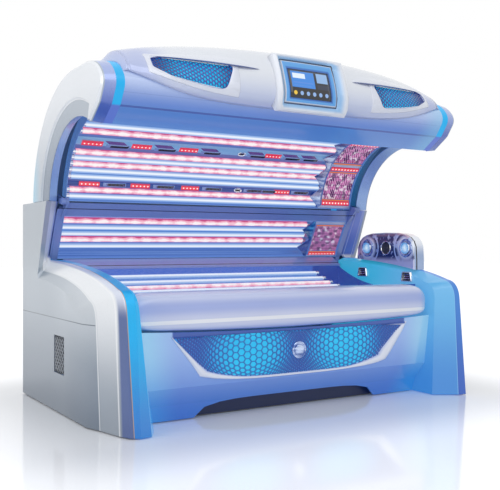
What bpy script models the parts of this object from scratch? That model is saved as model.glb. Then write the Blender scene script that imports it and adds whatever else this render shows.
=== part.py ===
"""Tanning bed: a base with a curved bench and a rear wall of lamps, and a canopy on a rear hinge.

Frame: X along the bed with the head end at +X, Y from front to rear, Z up. The origin is on the floor under
the middle. Outlines are chains of (y, z) points. A ring runs out along one chain and back along another at a
given x, and a solid is lofted through rings, with rungs between the two chains closing its ends.
"""
import math

import bmesh
import bpy
from mathutils import Vector

# Overall sizes and clearances
HALF_LENGTH = 1.200
NOSE_Y = -0.752
REAR_Y = 0.752
SEAM_Z = 1.190
SEAM_GAP = 0.002
FLOOR_CLEAR = 0.006
GAP = 0.0003
SKIN = 0.004
SHEET = 0.003
SHARP_DEG = 30

# End panels: flat outer face, wide chamfer, nose at the front and column at the rear
PANEL_DEPTH = 0.140
COLUMN_DEPTH = 0.082
PANEL_RIM_X = HALF_LENGTH - PANEL_DEPTH
COLUMN_RIM_X = HALF_LENGTH - COLUMN_DEPTH
HEAD_EXTRA = 0.075
NOSE_LEAN = 0.052
NOSE_TOP_Z = 0.600
NOSE_FULL = (0.010, 0.012)
NOSE_STEPS = 6
RIM_STEPS = 6
RIM_FRONT_Y = -0.600
RIM_FRONT_Z = 0.715
RIM_POINTS = 2 + NOSE_STEPS + RIM_STEPS
RIM_REAR_Y = 0.430
RIM_REAR_Z = 0.845
RIM_BOW_Y = -0.250
RIM_BOW_Z = 0.825
COLUMN_STEP_Z = 0.025
COLUMN_TAPER = 0.09
COLUMN_WALLS = 2.5
PANEL_CREASE_DEG = 16
COLUMN_TOP_Y = 0.262
# Each level of the panel: distance from the outer face, and how far front, rim and column are drawn in there
PANEL_LEVELS = ((0.000, 0.360, 0.110, 0.010), (0.032, 0.255, 0.066, 0.014), (0.071, 0.089, 0.012, 0.040),
                (0.096, 0.027, 0.003, 0.046), (PANEL_DEPTH, 0.000, 0.000, 0.050))
VENT_Y = 0.043
VENT_Z = 0.325
VENT_WIDTH = 0.173
VENT_HEIGHT = 0.210

# Lit inner panels, which lean outwards
INNER_SET = 0.115
INNER_FLOOR_X = PANEL_RIM_X - INNER_SET
INNER_LEAN = 0.128
LIGHT_REAR_Y = 0.420
LIGHT_STRIP = 0.55
HEAD_STRIP = 0.30
LIGHT_STRIP_INSET = (0.008, 0.003)
LIGHT_FACE_INSET = (0.100, 0.020)

# Front panel, grille, badge and toe kick
PANEL_FLOOR_Y = -0.470
PANEL_TOE_Y = -0.490
PANEL_FACE_Y = -0.560
PANEL_FACE_Z = 0.190
PANEL_THICK = 0.014
PANEL_STATIONS = 12
TOE_TOP_Z = 0.090
TOE_SET = 0.215
TOE_FLARE = 0.160
TOE_FLOOR_HALF = INNER_FLOOR_X - TOE_SET
TOE_TOP_HALF = TOE_FLOOR_HALF - TOE_FLARE
TOE_CORNER = 0.030
WINDOW_TOP_Z = 0.452
WINDOW_SET = 0.145
WINDOW_FLARE = 0.180
WINDOW_TOP_HALF = INNER_FLOOR_X - WINDOW_SET
WINDOW_LOW_Z = 0.205
WINDOW_LOW_HALF = WINDOW_TOP_HALF - WINDOW_FLARE
WINDOW_LOW_RISE = 0.045
GRILLE_RECESS = 0.004
GRILLE_THICK = 0.006
BADGE_R = 0.0485
BADGE_FACE_R = 0.029
BADGE_Z = 0.338
BADGE_EDGE = 0.010
BADGE_DEPTH = 0.020
TOE_KICK_LAP = 0.040
TOE_KICK_HALF = TOE_FLOOR_HALF + TOE_KICK_LAP
TOE_KICK_TOP_Z = 0.130

# Front rail, a bullnose shell open at the back
RAIL_BACK_Y = -0.430
RAIL_SET = 0.058
RAIL_HALF = PANEL_RIM_X - RAIL_SET
RAIL_TOP_Z = 0.685
RAIL_LOW_Z = 0.465
RAIL_LOW_RISE = 0.025
RAIL_BOW = 0.018
RAIL_END_POWER = 24
RAIL_END_ROUND = 0.25
RAIL_END_SHARE = 0.35
RAIL_STATIONS = 14
# Each level of the rail: depth in front of its back edge, and how far top, bottom and ends are drawn in there
RAIL_LEVELS = ((0.000, 0.000, 0.000, 0.000), (0.070, 0.006, 0.000, 0.002), (0.112, 0.032, 0.008, 0.012),
               (0.126, 0.075, 0.020, 0.027), (0.132, 0.100, 0.045, 0.050))

# Bench: acrylic sheet on an arc, lamps and reflector tray under it
BENCH_ARC_Y = -0.165
BENCH_LOW_Z = 0.659
BENCH_R = 1.162
BENCH_FRONT_Y = -0.428
BENCH_REAR_Y = 0.378
BENCH_SET = 0.040
BENCH_HALF = PANEL_RIM_X - BENCH_SET
ACRYLIC = 0.008
TRAY_DEPTH = 0.100
TRAY_LAP = 0.005
TRAY_HALF = BENCH_HALF - TRAY_LAP
TRAY_REAR_LAP = 0.002
TRAY_FRONT_Y = RAIL_BACK_Y + GAP
TRAY_REAR_Y = BENCH_REAR_Y + TRAY_REAR_LAP
BENCH_STEPS = 14
BENCH_LAMPS = 10
BENCH_LAMP_R = 0.018
BENCH_LAMP_MARGIN = 0.038
LAMP_R = 0.019
LAMP_SIDES = 12
LAMP_DROP = 0.040
HOLDER_T = 0.012

# Rear wall of the base: ledge, lamp tub, hinge beam and cover
LEDGE_FOOT_Z = 0.700
TUB_SET = 0.130
TUB_HALF = HALF_LENGTH - TUB_SET
TANNER_LENGTH = 0.270
LAMP_RIGHT_X = TUB_HALF - TANNER_LENGTH
LAMP_LEFT_X = -TUB_HALF + SHEET + GAP
TUB_LOW_Y = 0.477
TUB_LOW_Z = 0.850
TUB_TOP_Y = 0.347
TUB_TOP_Z = 1.108
TUB_DEPTH = 0.135
TUB_LOW_DROP = 0.012
BACK_LAMPS = 5
BACK_LAMP_LOW = (0.527, 0.934)
BACK_LAMP_TOP = (0.450, 1.086)
BEAM_FRONT_Y = 0.312
BEAM_REAR_Y = 0.400
COVER_DROP = 0.004
BEAM_TOP_Z = SEAM_Z - COVER_DROP - SEAM_GAP / 2
REAR_COVER_LOW_Z = 0.020
INLET_R = 0.030
INLET_LENGTH = 0.014
INLET_X = -0.800
INLET_Z = 0.180

# Floor pan, foot bars and what stands on the pan
PAN_LOW_Z = 0.050
PAN_HEIGHT = 0.040
PAN_FRONT_Y = -0.420
PAN_STEP_Y = 0.430
PAN_REAR_Y = 0.700
PAN_REAR_SET = 0.008
PAN_REAR_HALF = COLUMN_RIM_X - PAN_REAR_SET
FOOT_SET = 0.245
FOOT_X = INNER_FLOOR_X - FOOT_SET
FOOT_WIDTH = 0.060
FOOT_MARGIN = 0.040
BALLAST_X = (-0.550, 0.350)
BALLAST_Y = (-0.200, 0.300)
BALLAST_HEIGHT = 0.140
FAN_X = 0.640
FAN_Y = 0.060
FAN_R = 0.130
FAN_HEIGHT = 0.120

# Hinge posts, pins and ears
POST_FRONT_Y = 0.480
POST_REAR_Y = 0.600
POST_TOP_REAR_Y = 0.520
POST_KNEE_Z = 0.846
POST_TOP_DROP = 0.030
HINGE_Y = 0.268
EAR_R = 0.020
EAR_T = 0.015
EAR_SIDE_GAP = 0.0012
CANOPY_EAR_T = 0.026
PIN_R = 0.010
PIN_CLEAR = 0.0005
PIN_OVER = 0.001
EAR_BLOCK_Y = (0.340, 0.400)
EAR_BLOCK_HEIGHT = 0.048
EAR_BLOCK_REACH = 0.032
ROUND_SIDES = 24

# Head pod with swivelling outlets, and air vents at the head end
POD_FACE_SET = 0.135
POD_SHOULDER_SET = 0.050
POD_BACK_SET = 0.015
POD_FACE_X = HALF_LENGTH - POD_FACE_SET
POD_SHOULDER_X = HALF_LENGTH - POD_SHOULDER_SET
POD_BACK_X = HALF_LENGTH - POD_BACK_SET
POD_FRONT_Y = -0.370
POD_REAR_Y = 0.230
POD_TOP_Z = 1.020
POD_WALL = 0.010
POD_EDGE = 0.012
POD_BACK_DRAW = 0.050
POD_STEPS = 12
POD_SIDE_POWER = 0.60
POD_TOP_POWER = 0.55
POD_FOOT_RISE = 0.004
POD_OPEN_BELOW = 0.100
OUTLET_SIDES = 32
OUTLET_STEPS = 8
OUTLET_Y = (-0.286, 0.105)
OUTLET_Z = 0.914
OUTLET_R = 0.044
OUTLET_CLEAR = 0.0006
OUTLET_FRONT = 0.018
OUTLET_BACK = 0.022
SPEAKER_Y = -0.090
SPEAKER_R = 0.042
SPEAKER_DEPTH = 0.004
HEAD_VENT_Y = (-0.335, 0.118)
HEAD_VENT_Z = (0.724, 0.744)
HEAD_VENT_HALF = (0.045, 0.028)
HEAD_VENT_CUT = 0.018
HEAD_VENT_T = 0.014

# Canopy, drawn about one arc centre
ARC_Y = -0.175
ARC_Z = 1.150
CANOPY_R = 0.730
CROWN_STEPS = 14
BROW_STEPS = 5
NOSE_TURN_STEPS = 3
CROWN_DEG = 95.0
BROW_BULGE = 0.084
BROW_DEG = 113.4
NOSE_TOP_OUT = 0.030
NOSE_TOP_DEG = 122.6
NOSE_TIP_OUT = 0.016
NOSE_TIP_DEG = 127.1
NOSE_FOOT_IN = 0.036
NOSE_FOOT_DEG = 127.6
CREASE_IN = 0.121
CREASE_DEG = 128.0
TUBE_RIM_R = 0.490
REFLECTOR_DEPTH = 0.070
REFLECTOR_R = TUBE_RIM_R + REFLECTOR_DEPTH
LIP_IN = 0.011
LIP_DEG = 122.9
HOOD_TURN_DEG = 2.2
HOOD_LIP_T = 0.012
SHELL_BROW_STEPS = 2
SHELL_SEAM = CROWN_STEPS + 1 + SHELL_BROW_STEPS
REFLECTOR_START_DEG = 5.6
REFLECTOR_END_DEG = 116.0
REFLECTOR_STEPS = 16
CAP_DEPTH = 0.074
STRIP_WIDTH = 0.046
CAP_X = HALF_LENGTH - CAP_DEPTH
STRIP_X = CAP_X - STRIP_WIDTH
STRIP_T = 0.012
CAP_LAP = 0.004
CAP_INNER_R = TUBE_RIM_R - CAP_LAP
CAP_OUTER_R = 0.440
CAP_OUTER_SPREAD = 0.034
CAP_TIP_TURN_DEG = 2.4
CAP_TIP_T = 0.012
SCOOP_R = 0.560
SCOOP_STEP = 0.008
SCOOP_DEPTH = 0.010
SCOOP_SLOPE = 0.003
SCOOP_FLOOR_TURN_DEG = 4.2
SCOOP_FACE_TURN_DEG = 1.4
CAP_BEVEL = 0.008
CAP_EDGE = 0.010
CAP_FACE_INSET = 0.022

# Canopy lamps, LED rows and face tanner
LAMP_ROW_DEPTH = 0.035
LAMP_ROW_R = TUBE_RIM_R + LAMP_ROW_DEPTH
ROW_DEGREES = (8.5, 12.9, 17.3, 21.7, 26.1, 30.5, 34.9, 39.3, 48.8, 57.0, 63.6)
ROW_COUNT = len(ROW_DEGREES)
LED_ROWS = (2, 8)
LED_FACE_DEPTH = 0.017
LED_BACK_DEPTH = 0.041
LED_HALF_DEGS = (1.5, 3.6)
PINK_ROWS = (1, 5, 7, 9)
PINK_BACK_LAMPS = (1, 4)
FRONT_ROW_COUNT = 6
FRONT_START_DEG = 72.0
FRONT_STEP_DEG = 7.6
FRONT_HOLDER_DEG = 69.0
FRONT_HOLDER_STEPS = 6
FRONT_HOLDER_DROP = 0.012
TANNER_LIFT = 0.005
TANNER_END_DEG = 75.5
TANNER_STEPS = 8
SHOULDER_INSET = 0.008

# Top cover with its grilles and display
COVER_SET = 0.025
COVER_OVER = 0.100
COVER_HALF = STRIP_X - COVER_SET
COVER_STEPS = 18
COVER_BASE = COVER_HALF + COVER_OVER
COVER_POWER = 0.6
COVER_EDGE_TURN = 4.0
COVER_FRONT_TURN = 0.25
COVER_END_POWER = 4
COVER_FRONT_MID = 0.205
COVER_FRONT_END = 0.330
COVER_REAR = 0.900
COVER_SEAT = 0.0008
COVER_SHOULDER = 0.014
COVER_REACH = 0.115
COVER_REACH_POWER = 0.8
COVER_LIFT = 0.126
COVER_LIFT_POWER = 2.5
COVER_POINTS = 16
TOP_GRILLE_STEPS = (8, 16)
TOP_GRILLE_POINTS = (1, 4)
TOP_GRILLE_SEAT = 0.0008
TOP_GRILLE_SINK = 0.005
TOP_WINDOW_INSET = 0.012
DISPLAY_STEPS = 3
DISPLAY_POINTS = (1, 5)
DISPLAY_T = 0.022
WINDOW_CUT_Y = -0.420

# Colours: red, green, blue, roughness, metallic
COLOURS = {
    "silver": (0.62, 0.64, 0.68, 0.35, 0.4), "white_silver": (0.80, 0.81, 0.84, 0.35, 0.3),
    "lavender": (0.36, 0.42, 0.72, 0.40, 0.1), "light_blue": (0.12, 0.45, 0.80, 0.30, 0.0),
    "cyan": (0.00, 0.42, 0.86, 0.25, 0.0), "acrylic": (0.55, 0.68, 0.95, 0.08, 0.0),
    "lamp": (0.92, 0.90, 0.98, 0.25, 0.0), "pink_lamp": (0.95, 0.52, 0.60, 0.25, 0.0),
    "led": (0.80, 0.05, 0.10, 0.30, 0.0), "mirror": (0.75, 0.78, 0.85, 0.12, 1.0),
    "chrome": (0.80, 0.82, 0.86, 0.08, 1.0), "dark": (0.03, 0.04, 0.09, 0.50, 0.0),
    "steel": (0.50, 0.52, 0.55, 0.45, 0.9), "glass_blue": (0.25, 0.65, 0.95, 0.10, 0.0),
}


def lerp(a, b, t):
    return a + (b - a) * t


def polar(radius, degrees):
    """Point (y, z) at a radius and angle about the canopy's arc centre, from the rear upwards."""
    angle = math.radians(degrees)
    return (ARC_Y + radius * math.cos(angle), ARC_Z + radius * math.sin(angle))


def bezier(start, control, end, steps):
    """Points of a quadratic curve, ends included."""
    points = []
    for i in range(steps + 1):
        t = i / steps
        a, b, c = (1 - t) ** 2, 2 * t * (1 - t), t * t
        y = a * start[0] + b * control[0] + c * end[0]
        z = a * start[1] + b * control[1] + c * end[1]
        points.append((y, z))
    return points


def offset(chain, distance):
    """Chain moved to the left of its own direction, with mitred corners."""
    points = [Vector(p) for p in chain]
    moved = []
    for i, point in enumerate(points):
        before = point - points[i - 1] if i else points[1] - point
        after = points[i + 1] - point if i + 1 < len(points) else before
        first = Vector((-before.y, before.x)).normalized()
        second = Vector((-after.y, after.x)).normalized()
        moved.append(tuple(point + distance * (first + second) / (1 + first.dot(second))))
    return moved


def step_along(chain, index, distance):
    """Point a little further along a chain than one of its points."""
    here, ahead = Vector(chain[index]), Vector(chain[index + 1])
    return tuple(here + (ahead - here).normalized() * distance)


def ring(chain_a, chain_b, x):
    """Ring out along one chain and back along the other. x is a number or a function of the point."""
    place = x if callable(x) else (lambda point: x)
    loop = list(chain_a) + list(reversed(chain_b))
    return [(place(p), p[0], p[1]) for p in loop]


def mirrored(rings, side):
    return [[(side * x, y, z) for x, y, z in loop] for loop in rings]


def paint(slot):
    """Finish of a colour slot, made once."""
    material = bpy.data.materials.get(slot)
    if material is None:
        red, green, blue, rough, metal = COLOURS[slot]
        material = bpy.data.materials.new(slot)
        material.use_nodes = True
        shader = material.node_tree.nodes["Principled BSDF"]
        shader.inputs["Base Color"].default_value = (red, green, blue, 1.0)
        shader.inputs["Roughness"].default_value = rough
        shader.inputs["Metallic"].default_value = metal
        material.diffuse_color = (red, green, blue, 1.0)
    return material


def pivot(name, place):
    """Empty on a joint's axis, which carries the pieces that turn about it."""
    empty = bpy.data.objects.new(name, None)
    empty.location = place
    bpy.context.scene.collection.objects.link(empty)
    return empty


def add(name, bm, slot, parent=None):
    """Closed piece in the bed's frame, with its faces turned outwards."""
    if parent:
        bmesh.ops.translate(bm, verts=bm.verts, vec=-parent.location)
    bmesh.ops.recalc_face_normals(bm, faces=bm.faces)
    mesh = bpy.data.meshes.new(name)
    bm.to_mesh(mesh)
    bm.free()
    mesh.shade_smooth()
    mesh.set_sharp_from_angle(angle=math.radians(SHARP_DEG))
    mesh.materials.append(paint(slot))
    obj = bpy.data.objects.new(name, mesh)
    obj.parent = parent
    bpy.context.scene.collection.objects.link(obj)
    return obj


def loft(name, rings, slot, parent=None, halved=False, walled=False):
    """Closed solid through rings of one even point count, with rungs across the first and last ring.

    A halved solid ends open at x = 0 and is mirrored there. A walled solid goes down its inner wall and back up
    its outer wall, and both are split along the same diagonals, so that twisted walls keep their thickness.
    """
    bm = bmesh.new()
    loops = [[bm.verts.new(point) for point in loop] for loop in rings]
    count = len(rings[0])
    for k, (low, high) in enumerate(zip(loops, loops[1:])):
        outside = walled and k >= len(loops) // 2
        for i in range(count):
            j = (i + 1) % count
            corners = (low[i], low[j], high[j], high[i])
            bm.faces.new(corners[1:] + corners[:1] if outside else corners)
    for loop in loops[:1] if halved else (loops[0], loops[-1]):
        for i in range(count // 2 - 1):
            bm.faces.new((loop[i], loop[i + 1], loop[count - 2 - i], loop[count - 1 - i]))
    if walled:
        bmesh.ops.triangulate(bm, faces=bm.faces, quad_method="FIXED")
    obj = add(name, bm, slot, parent)
    if halved:
        mirror = obj.modifiers.new("mirror", "MIRROR")
        mirror.merge_threshold = GAP / 4
    return obj


def slab(name, chain_a, chain_b, x_low, x_high, slot, parent=None):
    """Straight run along X of the band between two chains."""
    return loft(name, [ring(chain_a, chain_b, x_low), ring(chain_a, chain_b, x_high)], slot, parent)


def sheet(name, chain, thick, x_low, x_high, slot, parent=None):
    """Folded or rolled sheet along X. Its thickness lies to the left of the chain."""
    return slab(name, chain, offset(chain, thick), x_low, x_high, slot, parent)


def box(name, low, high, slot, parent=None):
    chain_a = [(low[1], low[2]), (high[1], low[2])]
    chain_b = [(low[1], high[2]), (high[1], high[2])]
    return slab(name, chain_a, chain_b, low[0], high[0], slot, parent)


def hull(name, points, x_low, x_high, slot, parent=None):
    """Plate along X with the convex outline of its points."""
    bm = bmesh.new()
    for x in (x_low, x_high):
        for y, z in points:
            bm.verts.new((x, y, z))
    made = bmesh.ops.convex_hull(bm, input=bm.verts)
    spare = made["geom_interior"] + made["geom_unused"]
    inside = {v for v in spare if isinstance(v, bmesh.types.BMVert)}
    bmesh.ops.delete(bm, geom=list(inside), context="VERTS")
    return add(name, bm, slot, parent)


def circle(y, z, radius, sides):
    """Upper and lower half (y, z) chains of a circle."""
    step = math.pi * 2 / sides
    upper = []
    lower = []
    for i in range(sides // 2):
        angle = (i + 0.5) * step
        upper.append((y + radius * math.cos(angle), z + radius * math.sin(angle)))
        lower.append((y + radius * math.cos(angle), z - radius * math.sin(angle)))
    return upper, lower


def rod(name, y, z, radius, x_low, x_high, slot, parent=None, sides=LAMP_SIDES):
    upper, lower = circle(y, z, radius, sides)
    return slab(name, upper, lower, x_low, x_high, slot, parent)


def turned(name, y, z, profile, slot, parent=None, sides=ROUND_SIDES):
    """Solid turned about an X axis through (y, z) from (x, radius) stations."""
    return loft(name, [ring(*circle(y, z, radius, sides), x) for x, radius in profile], slot, parent)


def combine(obj, tool, operation):
    """Joins a second piece to an object, or cuts it out of it."""
    step = obj.modifiers.new(tool.name, "BOOLEAN")
    step.object = tool
    step.operation = operation
    step.solver = "EXACT"
    tool.hide_render = True
    tool.display_type = "WIRE"


def inner_x(z):
    """X of the leaning inner face of the right lit panel."""
    return INNER_FLOOR_X + INNER_LEAN * z


def bench_z(y, drop=0.0):
    """Height of the bench arc, lowered square to the arc by a drop."""
    radius = BENCH_R + drop
    return BENCH_LOW_Z + BENCH_R - math.sqrt(radius ** 2 - (y - BENCH_ARC_Y) ** 2)


def spread(low, high, steps):
    return [lerp(low, high, i / steps) for i in range(steps + 1)]


def end_outline(front, top, column, wall=0.0):
    """Front, rim and column edge of an end panel, drawn in by the given amounts."""
    front, top, column = front + wall, top + wall, column + COLUMN_WALLS * wall
    foot = (NOSE_Y + front, FLOOR_CLEAR + wall)
    knee = (NOSE_Y + NOSE_LEAN + front, NOSE_TOP_Z - top)
    brow = (RIM_FRONT_Y + front, RIM_FRONT_Z - top)
    rear = (RIM_REAR_Y, RIM_REAR_Z - top)
    shin = (lerp(foot[0], knee[0], 0.5), lerp(foot[1], knee[1], 0.5))
    nose = bezier(knee, (knee[0] + NOSE_FULL[0], brow[1] - NOSE_FULL[1]), brow, NOSE_STEPS)
    rim = bezier(brow, (RIM_BOW_Y + front / 2, RIM_BOW_Z - top), rear, RIM_STEPS)
    column_foot = (RIM_REAR_Y + column, RIM_REAR_Z + COLUMN_STEP_Z - top)
    column_top = (COLUMN_TOP_Y + column, SEAM_Z - SEAM_GAP / 2 - wall)
    return [foot, shin] + nose + rim[1:] + [column_foot, column_top]


def panel_ring(depth, insets, squeeze, wall=0.0, lift=0.0):
    """Ring of an end panel below its outer face. The nose and rim are squeezed towards that face."""
    x = HALF_LENGTH - depth * squeeze - lift
    column_x = HALF_LENGTH - depth - lift
    column_x = max(column_x, COLUMN_RIM_X + COLUMN_TAPER * (column_x - PANEL_RIM_X))
    edge = end_outline(*insets, wall)
    rear = [(REAR_Y - wall, z) for y, z in edge]
    loop = [(x, y, z) for y, z in edge[:RIM_POINTS]] + [(column_x, y, z) for y, z in edge[RIM_POINTS:]]
    return loop + [(column_x, y, z) for y, z in reversed(rear)]


def panel_rim_x(side):
    """X of a panel's rim. The head end's lit face is wider, so its rim stands further out."""
    return PANEL_RIM_X + (HEAD_EXTRA if side > 0 else 0.0)


def end_panel(name, side):
    """End panel, a shell open towards the bed."""
    depth, *insets = PANEL_LEVELS[-1]
    squeeze = (HALF_LENGTH - panel_rim_x(side)) / depth
    rim = [panel_ring(depth, insets, squeeze, SKIN), panel_ring(depth, insets, squeeze)]
    inner = [panel_ring(depth, insets, squeeze, SKIN, SKIN) for depth, *insets in PANEL_LEVELS[:-1]]
    outer = [panel_ring(depth, insets, squeeze) for depth, *insets in reversed(PANEL_LEVELS[:-1])]
    panel = loft(name, mirrored(inner + rim + outer, side), "silver", walled=True)
    panel.data.set_sharp_from_angle(angle=math.radians(PANEL_CREASE_DEG))
    return panel


def light_panel(name, side):
    """Lit inner cover of an end panel, an open tray towards the panel."""
    rim_x = panel_rim_x(side) - GAP
    rear_x = min(rim_x, COLUMN_RIM_X - SKIN)
    strip = LIGHT_STRIP if side < 0 else HEAD_STRIP

    def loop(share, insets, wall):
        edge = end_outline(*insets, 0.0, wall)[:RIM_POINTS]
        rear = [(LIGHT_REAR_Y - wall, z) for y, z in edge]
        front = [(lerp(rim_x, inner_x(z) + wall, share), y, z) for y, z in edge]
        back = [(lerp(rear_x, inner_x(z) + wall, share), y, z) for y, z in rear]
        return front + back[::-1]

    stages = ((1.0, LIGHT_FACE_INSET), (strip, LIGHT_STRIP_INSET), (0.0, (0.0, 0.0)))
    inner = [loop(share, insets, SKIN) for share, insets in stages]
    outer = [loop(share, insets, 0.0) for share, insets in reversed(stages)]
    return loft(name, mirrored(inner + outer, side), "light_blue", walled=True)


def vent_grille(panel):
    """Grille plate of the left end panel, in a window of the panel's flat face."""
    low = (-HALF_LENGTH - SKIN, VENT_Y - VENT_WIDTH / 2, VENT_Z - VENT_HEIGHT / 2)
    high = (-HALF_LENGTH + 2 * SKIN, VENT_Y + VENT_WIDTH / 2, VENT_Z + VENT_HEIGHT / 2)
    combine(panel, box("vent_window", low, high, "dark"), "DIFFERENCE")
    low = (-HALF_LENGTH, low[1] + GAP, low[2] + GAP)
    high = (-HALF_LENGTH + SKIN, high[1] - GAP, high[2] - GAP)
    box("vent_grille", low, high, "dark")


def rail_low(x):
    return RAIL_LOW_Z + RAIL_LOW_RISE * (x / RAIL_HALF) ** 2


def rail_ring(depth, top, low, ends, wall=0.0, lift=0.0):
    """Ring of the front rail at a depth in front of its back edge, bowed forwards in the middle."""
    half = RAIL_HALF - ends - wall
    upper = []
    lower = []
    for i in range(RAIL_STATIONS + 1):
        u = math.sin(math.pi * (i / RAIL_STATIONS - 0.5))
        x = half * u
        y = RAIL_BACK_Y - (depth - lift) - RAIL_BOW * depth / RAIL_LEVELS[-1][0] * (1 - u * u)
        high_z = RAIL_TOP_Z - top - wall
        low_z = rail_low(x) + low + wall
        middle = (high_z + low_z) / 2
        share = max(RAIL_END_SHARE, max(0.0, 1 - abs(u) ** RAIL_END_POWER) ** RAIL_END_ROUND)
        upper.append((x, y, lerp(middle, high_z, share)))
        lower.append((x, y, lerp(middle, low_z, share)))
    return upper + lower[::-1]


def front_rail():
    inner = [rail_ring(*level, SKIN, SKIN) for level in reversed(RAIL_LEVELS[1:])]
    rim = [rail_ring(*RAIL_LEVELS[0], SKIN), rail_ring(*RAIL_LEVELS[0])]
    outer = [rail_ring(*level) for level in RAIL_LEVELS[1:]]
    return loft("front_rail", inner + rim + outer, "lavender")


def across(half_top, top, half_low, low, y):
    """Ring at one y between an upper and a lower edge, which are functions of u from -1 to 1."""
    steps = spread(-1.0, 1.0, PANEL_STATIONS)
    upper = [(half_top * u, y, top(u)) for u in steps]
    lower = [(half_low * u, y, low(u)) for u in steps]
    return upper + lower[::-1]


def window(inset, y):
    """Ring of the front window, or of the grille that fills it."""
    return across(WINDOW_TOP_HALF - 2 * inset, lambda u: WINDOW_TOP_Z - inset,
                  WINDOW_LOW_HALF - 2 * inset, lambda u: WINDOW_LOW_Z + inset + WINDOW_LOW_RISE * u ** 4, y)


def front_panel():
    """Panel between the lit panels, with its window and toe cut-out."""
    rings = []
    for u in spread(-1.0, 1.0, PANEL_STATIONS):
        top = rail_low(u * RAIL_HALF) - GAP
        front = [(PANEL_FLOOR_Y, FLOOR_CLEAR), (PANEL_TOE_Y, TOE_TOP_Z), (PANEL_FACE_Y, PANEL_FACE_Z),
                 (PANEL_FACE_Y, top)]
        back = [(y + PANEL_THICK, z) for y, z in front]
        rings.append(ring(front, back, lambda p: u * (inner_x(p[1]) - GAP)))
    panel = loft("front_panel", rings, "lavender")
    reach = PANEL_THICK * 2
    cut = loft("window_cut", [window(0.0, PANEL_FACE_Y - reach), window(0.0, PANEL_FACE_Y + reach)], "dark")
    combine(panel, cut, "DIFFERENCE")

    def toe(y):
        return across(TOE_TOP_HALF, lambda u: TOE_TOP_Z - TOE_CORNER * u ** 6,
                      TOE_FLOOR_HALF, lambda u: -TOE_TOP_Z, y)

    cut = loft("toe_cut", [toe(PANEL_FACE_Y - reach), toe(PANEL_FLOOR_Y + reach)], "dark")
    combine(panel, cut, "DIFFERENCE")


def front_grille():
    """Grille plate in the front window."""
    front = PANEL_FACE_Y + GRILLE_RECESS
    loft("front_grille", [window(GAP, front), window(GAP, front + GRILLE_THICK)], "cyan")


def front_badge():
    """Round domed badge on the middle of the grille."""
    front = PANEL_FACE_Y + GRILLE_RECESS
    rings = []
    for depth, radius in ((GAP, BADGE_R), (BADGE_EDGE, BADGE_R), (BADGE_DEPTH, BADGE_FACE_R)):
        upper, lower = circle(0.0, BADGE_Z, radius, ROUND_SIDES)
        rings.append([(x, front - depth, z) for x, z in upper + lower[::-1]])
    loft("front_badge", rings, "chrome")


def bench_tray_ring(half, low_y, high_y, drop):
    """Ring round the bench tray, at a drop below the bench arc."""
    edge = [(y, bench_z(y, drop)) for y in spread(low_y, high_y, BENCH_STEPS)]
    return ([(-half, y, z) for y, z in edge] + [(half, y, z) for y, z in reversed(edge)])


def bench_acrylic():
    """Curved acrylic sheet to lie on."""
    ys = spread(BENCH_FRONT_Y, BENCH_REAR_Y, BENCH_STEPS)
    top = [(y, bench_z(y)) for y in ys]
    low = [(y, bench_z(y, ACRYLIC)) for y in ys]
    slab("bench_acrylic", top, low, -BENCH_HALF, BENCH_HALF, "acrylic")


def bench_reflector():
    """Bright tray under the acrylic, between the front rail and the rear ledge."""
    rim = ACRYLIC + 2 * GAP
    inside = (TRAY_HALF - SHEET, TRAY_FRONT_Y + SHEET, TRAY_REAR_Y - SHEET)
    outside = (TRAY_HALF, TRAY_FRONT_Y, TRAY_REAR_Y)
    rings = [bench_tray_ring(*inside, TRAY_DEPTH - SHEET), bench_tray_ring(*inside, rim),
             bench_tray_ring(*outside, rim), bench_tray_ring(*outside, TRAY_DEPTH)]
    loft("bench_reflector", rings, "mirror")


def bench_holder(name, x_low, ends):
    """Cross bar in the tray that the bench lamps end in."""
    ys = spread(*ends, BENCH_STEPS)
    upper = [(y, bench_z(y, LAMP_DROP - LAMP_R)) for y in ys]
    lower = [(y, bench_z(y, TRAY_DEPTH - SHEET - 2 * GAP)) for y in ys]
    return slab(name, upper, lower, x_low, x_low + HOLDER_T, "lamp")


def bench_lamp_bank():
    """Row of bench lamps joined by their two holders."""
    left = -TRAY_HALF + SHEET + GAP
    ends = (TRAY_FRONT_Y + SHEET + GAP, TRAY_REAR_Y - SHEET - GAP)
    bank = bench_holder("bench_lamp_bank", left, ends)
    combine(bank, bench_holder("bench_holder", LAMP_RIGHT_X - HOLDER_T, ends), "UNION")
    low_x = left + HOLDER_T / 2
    high_x = LAMP_RIGHT_X - HOLDER_T / 2
    rows = spread(ends[0] + BENCH_LAMP_MARGIN, ends[1] - BENCH_LAMP_MARGIN, BENCH_LAMPS - 1)
    for i, y in enumerate(rows):
        lamp = rod(f"bench_lamp_{i + 1}", y, bench_z(y, LAMP_DROP), BENCH_LAMP_R, low_x, high_x, "lamp")
        combine(bank, lamp, "UNION")


def rear_ledge():
    """Folded ledge from the bench's rear edge up to the lamp tub."""
    foot = (TRAY_REAR_Y + GAP, LEDGE_FOOT_Z)
    corner = (TRAY_REAR_Y + GAP, bench_z(BENCH_REAR_Y))
    half = inner_x(LEDGE_FOOT_Z) - GAP
    chain = [(TUB_LOW_Y - GAP, TUB_LOW_Z - SHEET), corner, foot]
    sheet("rear_ledge", chain, SHEET, -half, half, "lavender")


def tub_chain(start, end):
    return [(lerp(start[0], end[0], t), lerp(start[1], end[1], t)) for t in (0.0, 0.5, 1.0)]


def tub_ring(low, top, half):
    """Ring round the rear lamp tub, from its lower edge to its upper edge."""
    chain = tub_chain(low, top)
    return [(-half, y, z) for y, z in chain] + [(half, y, z) for y, z in reversed(chain)]


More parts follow.
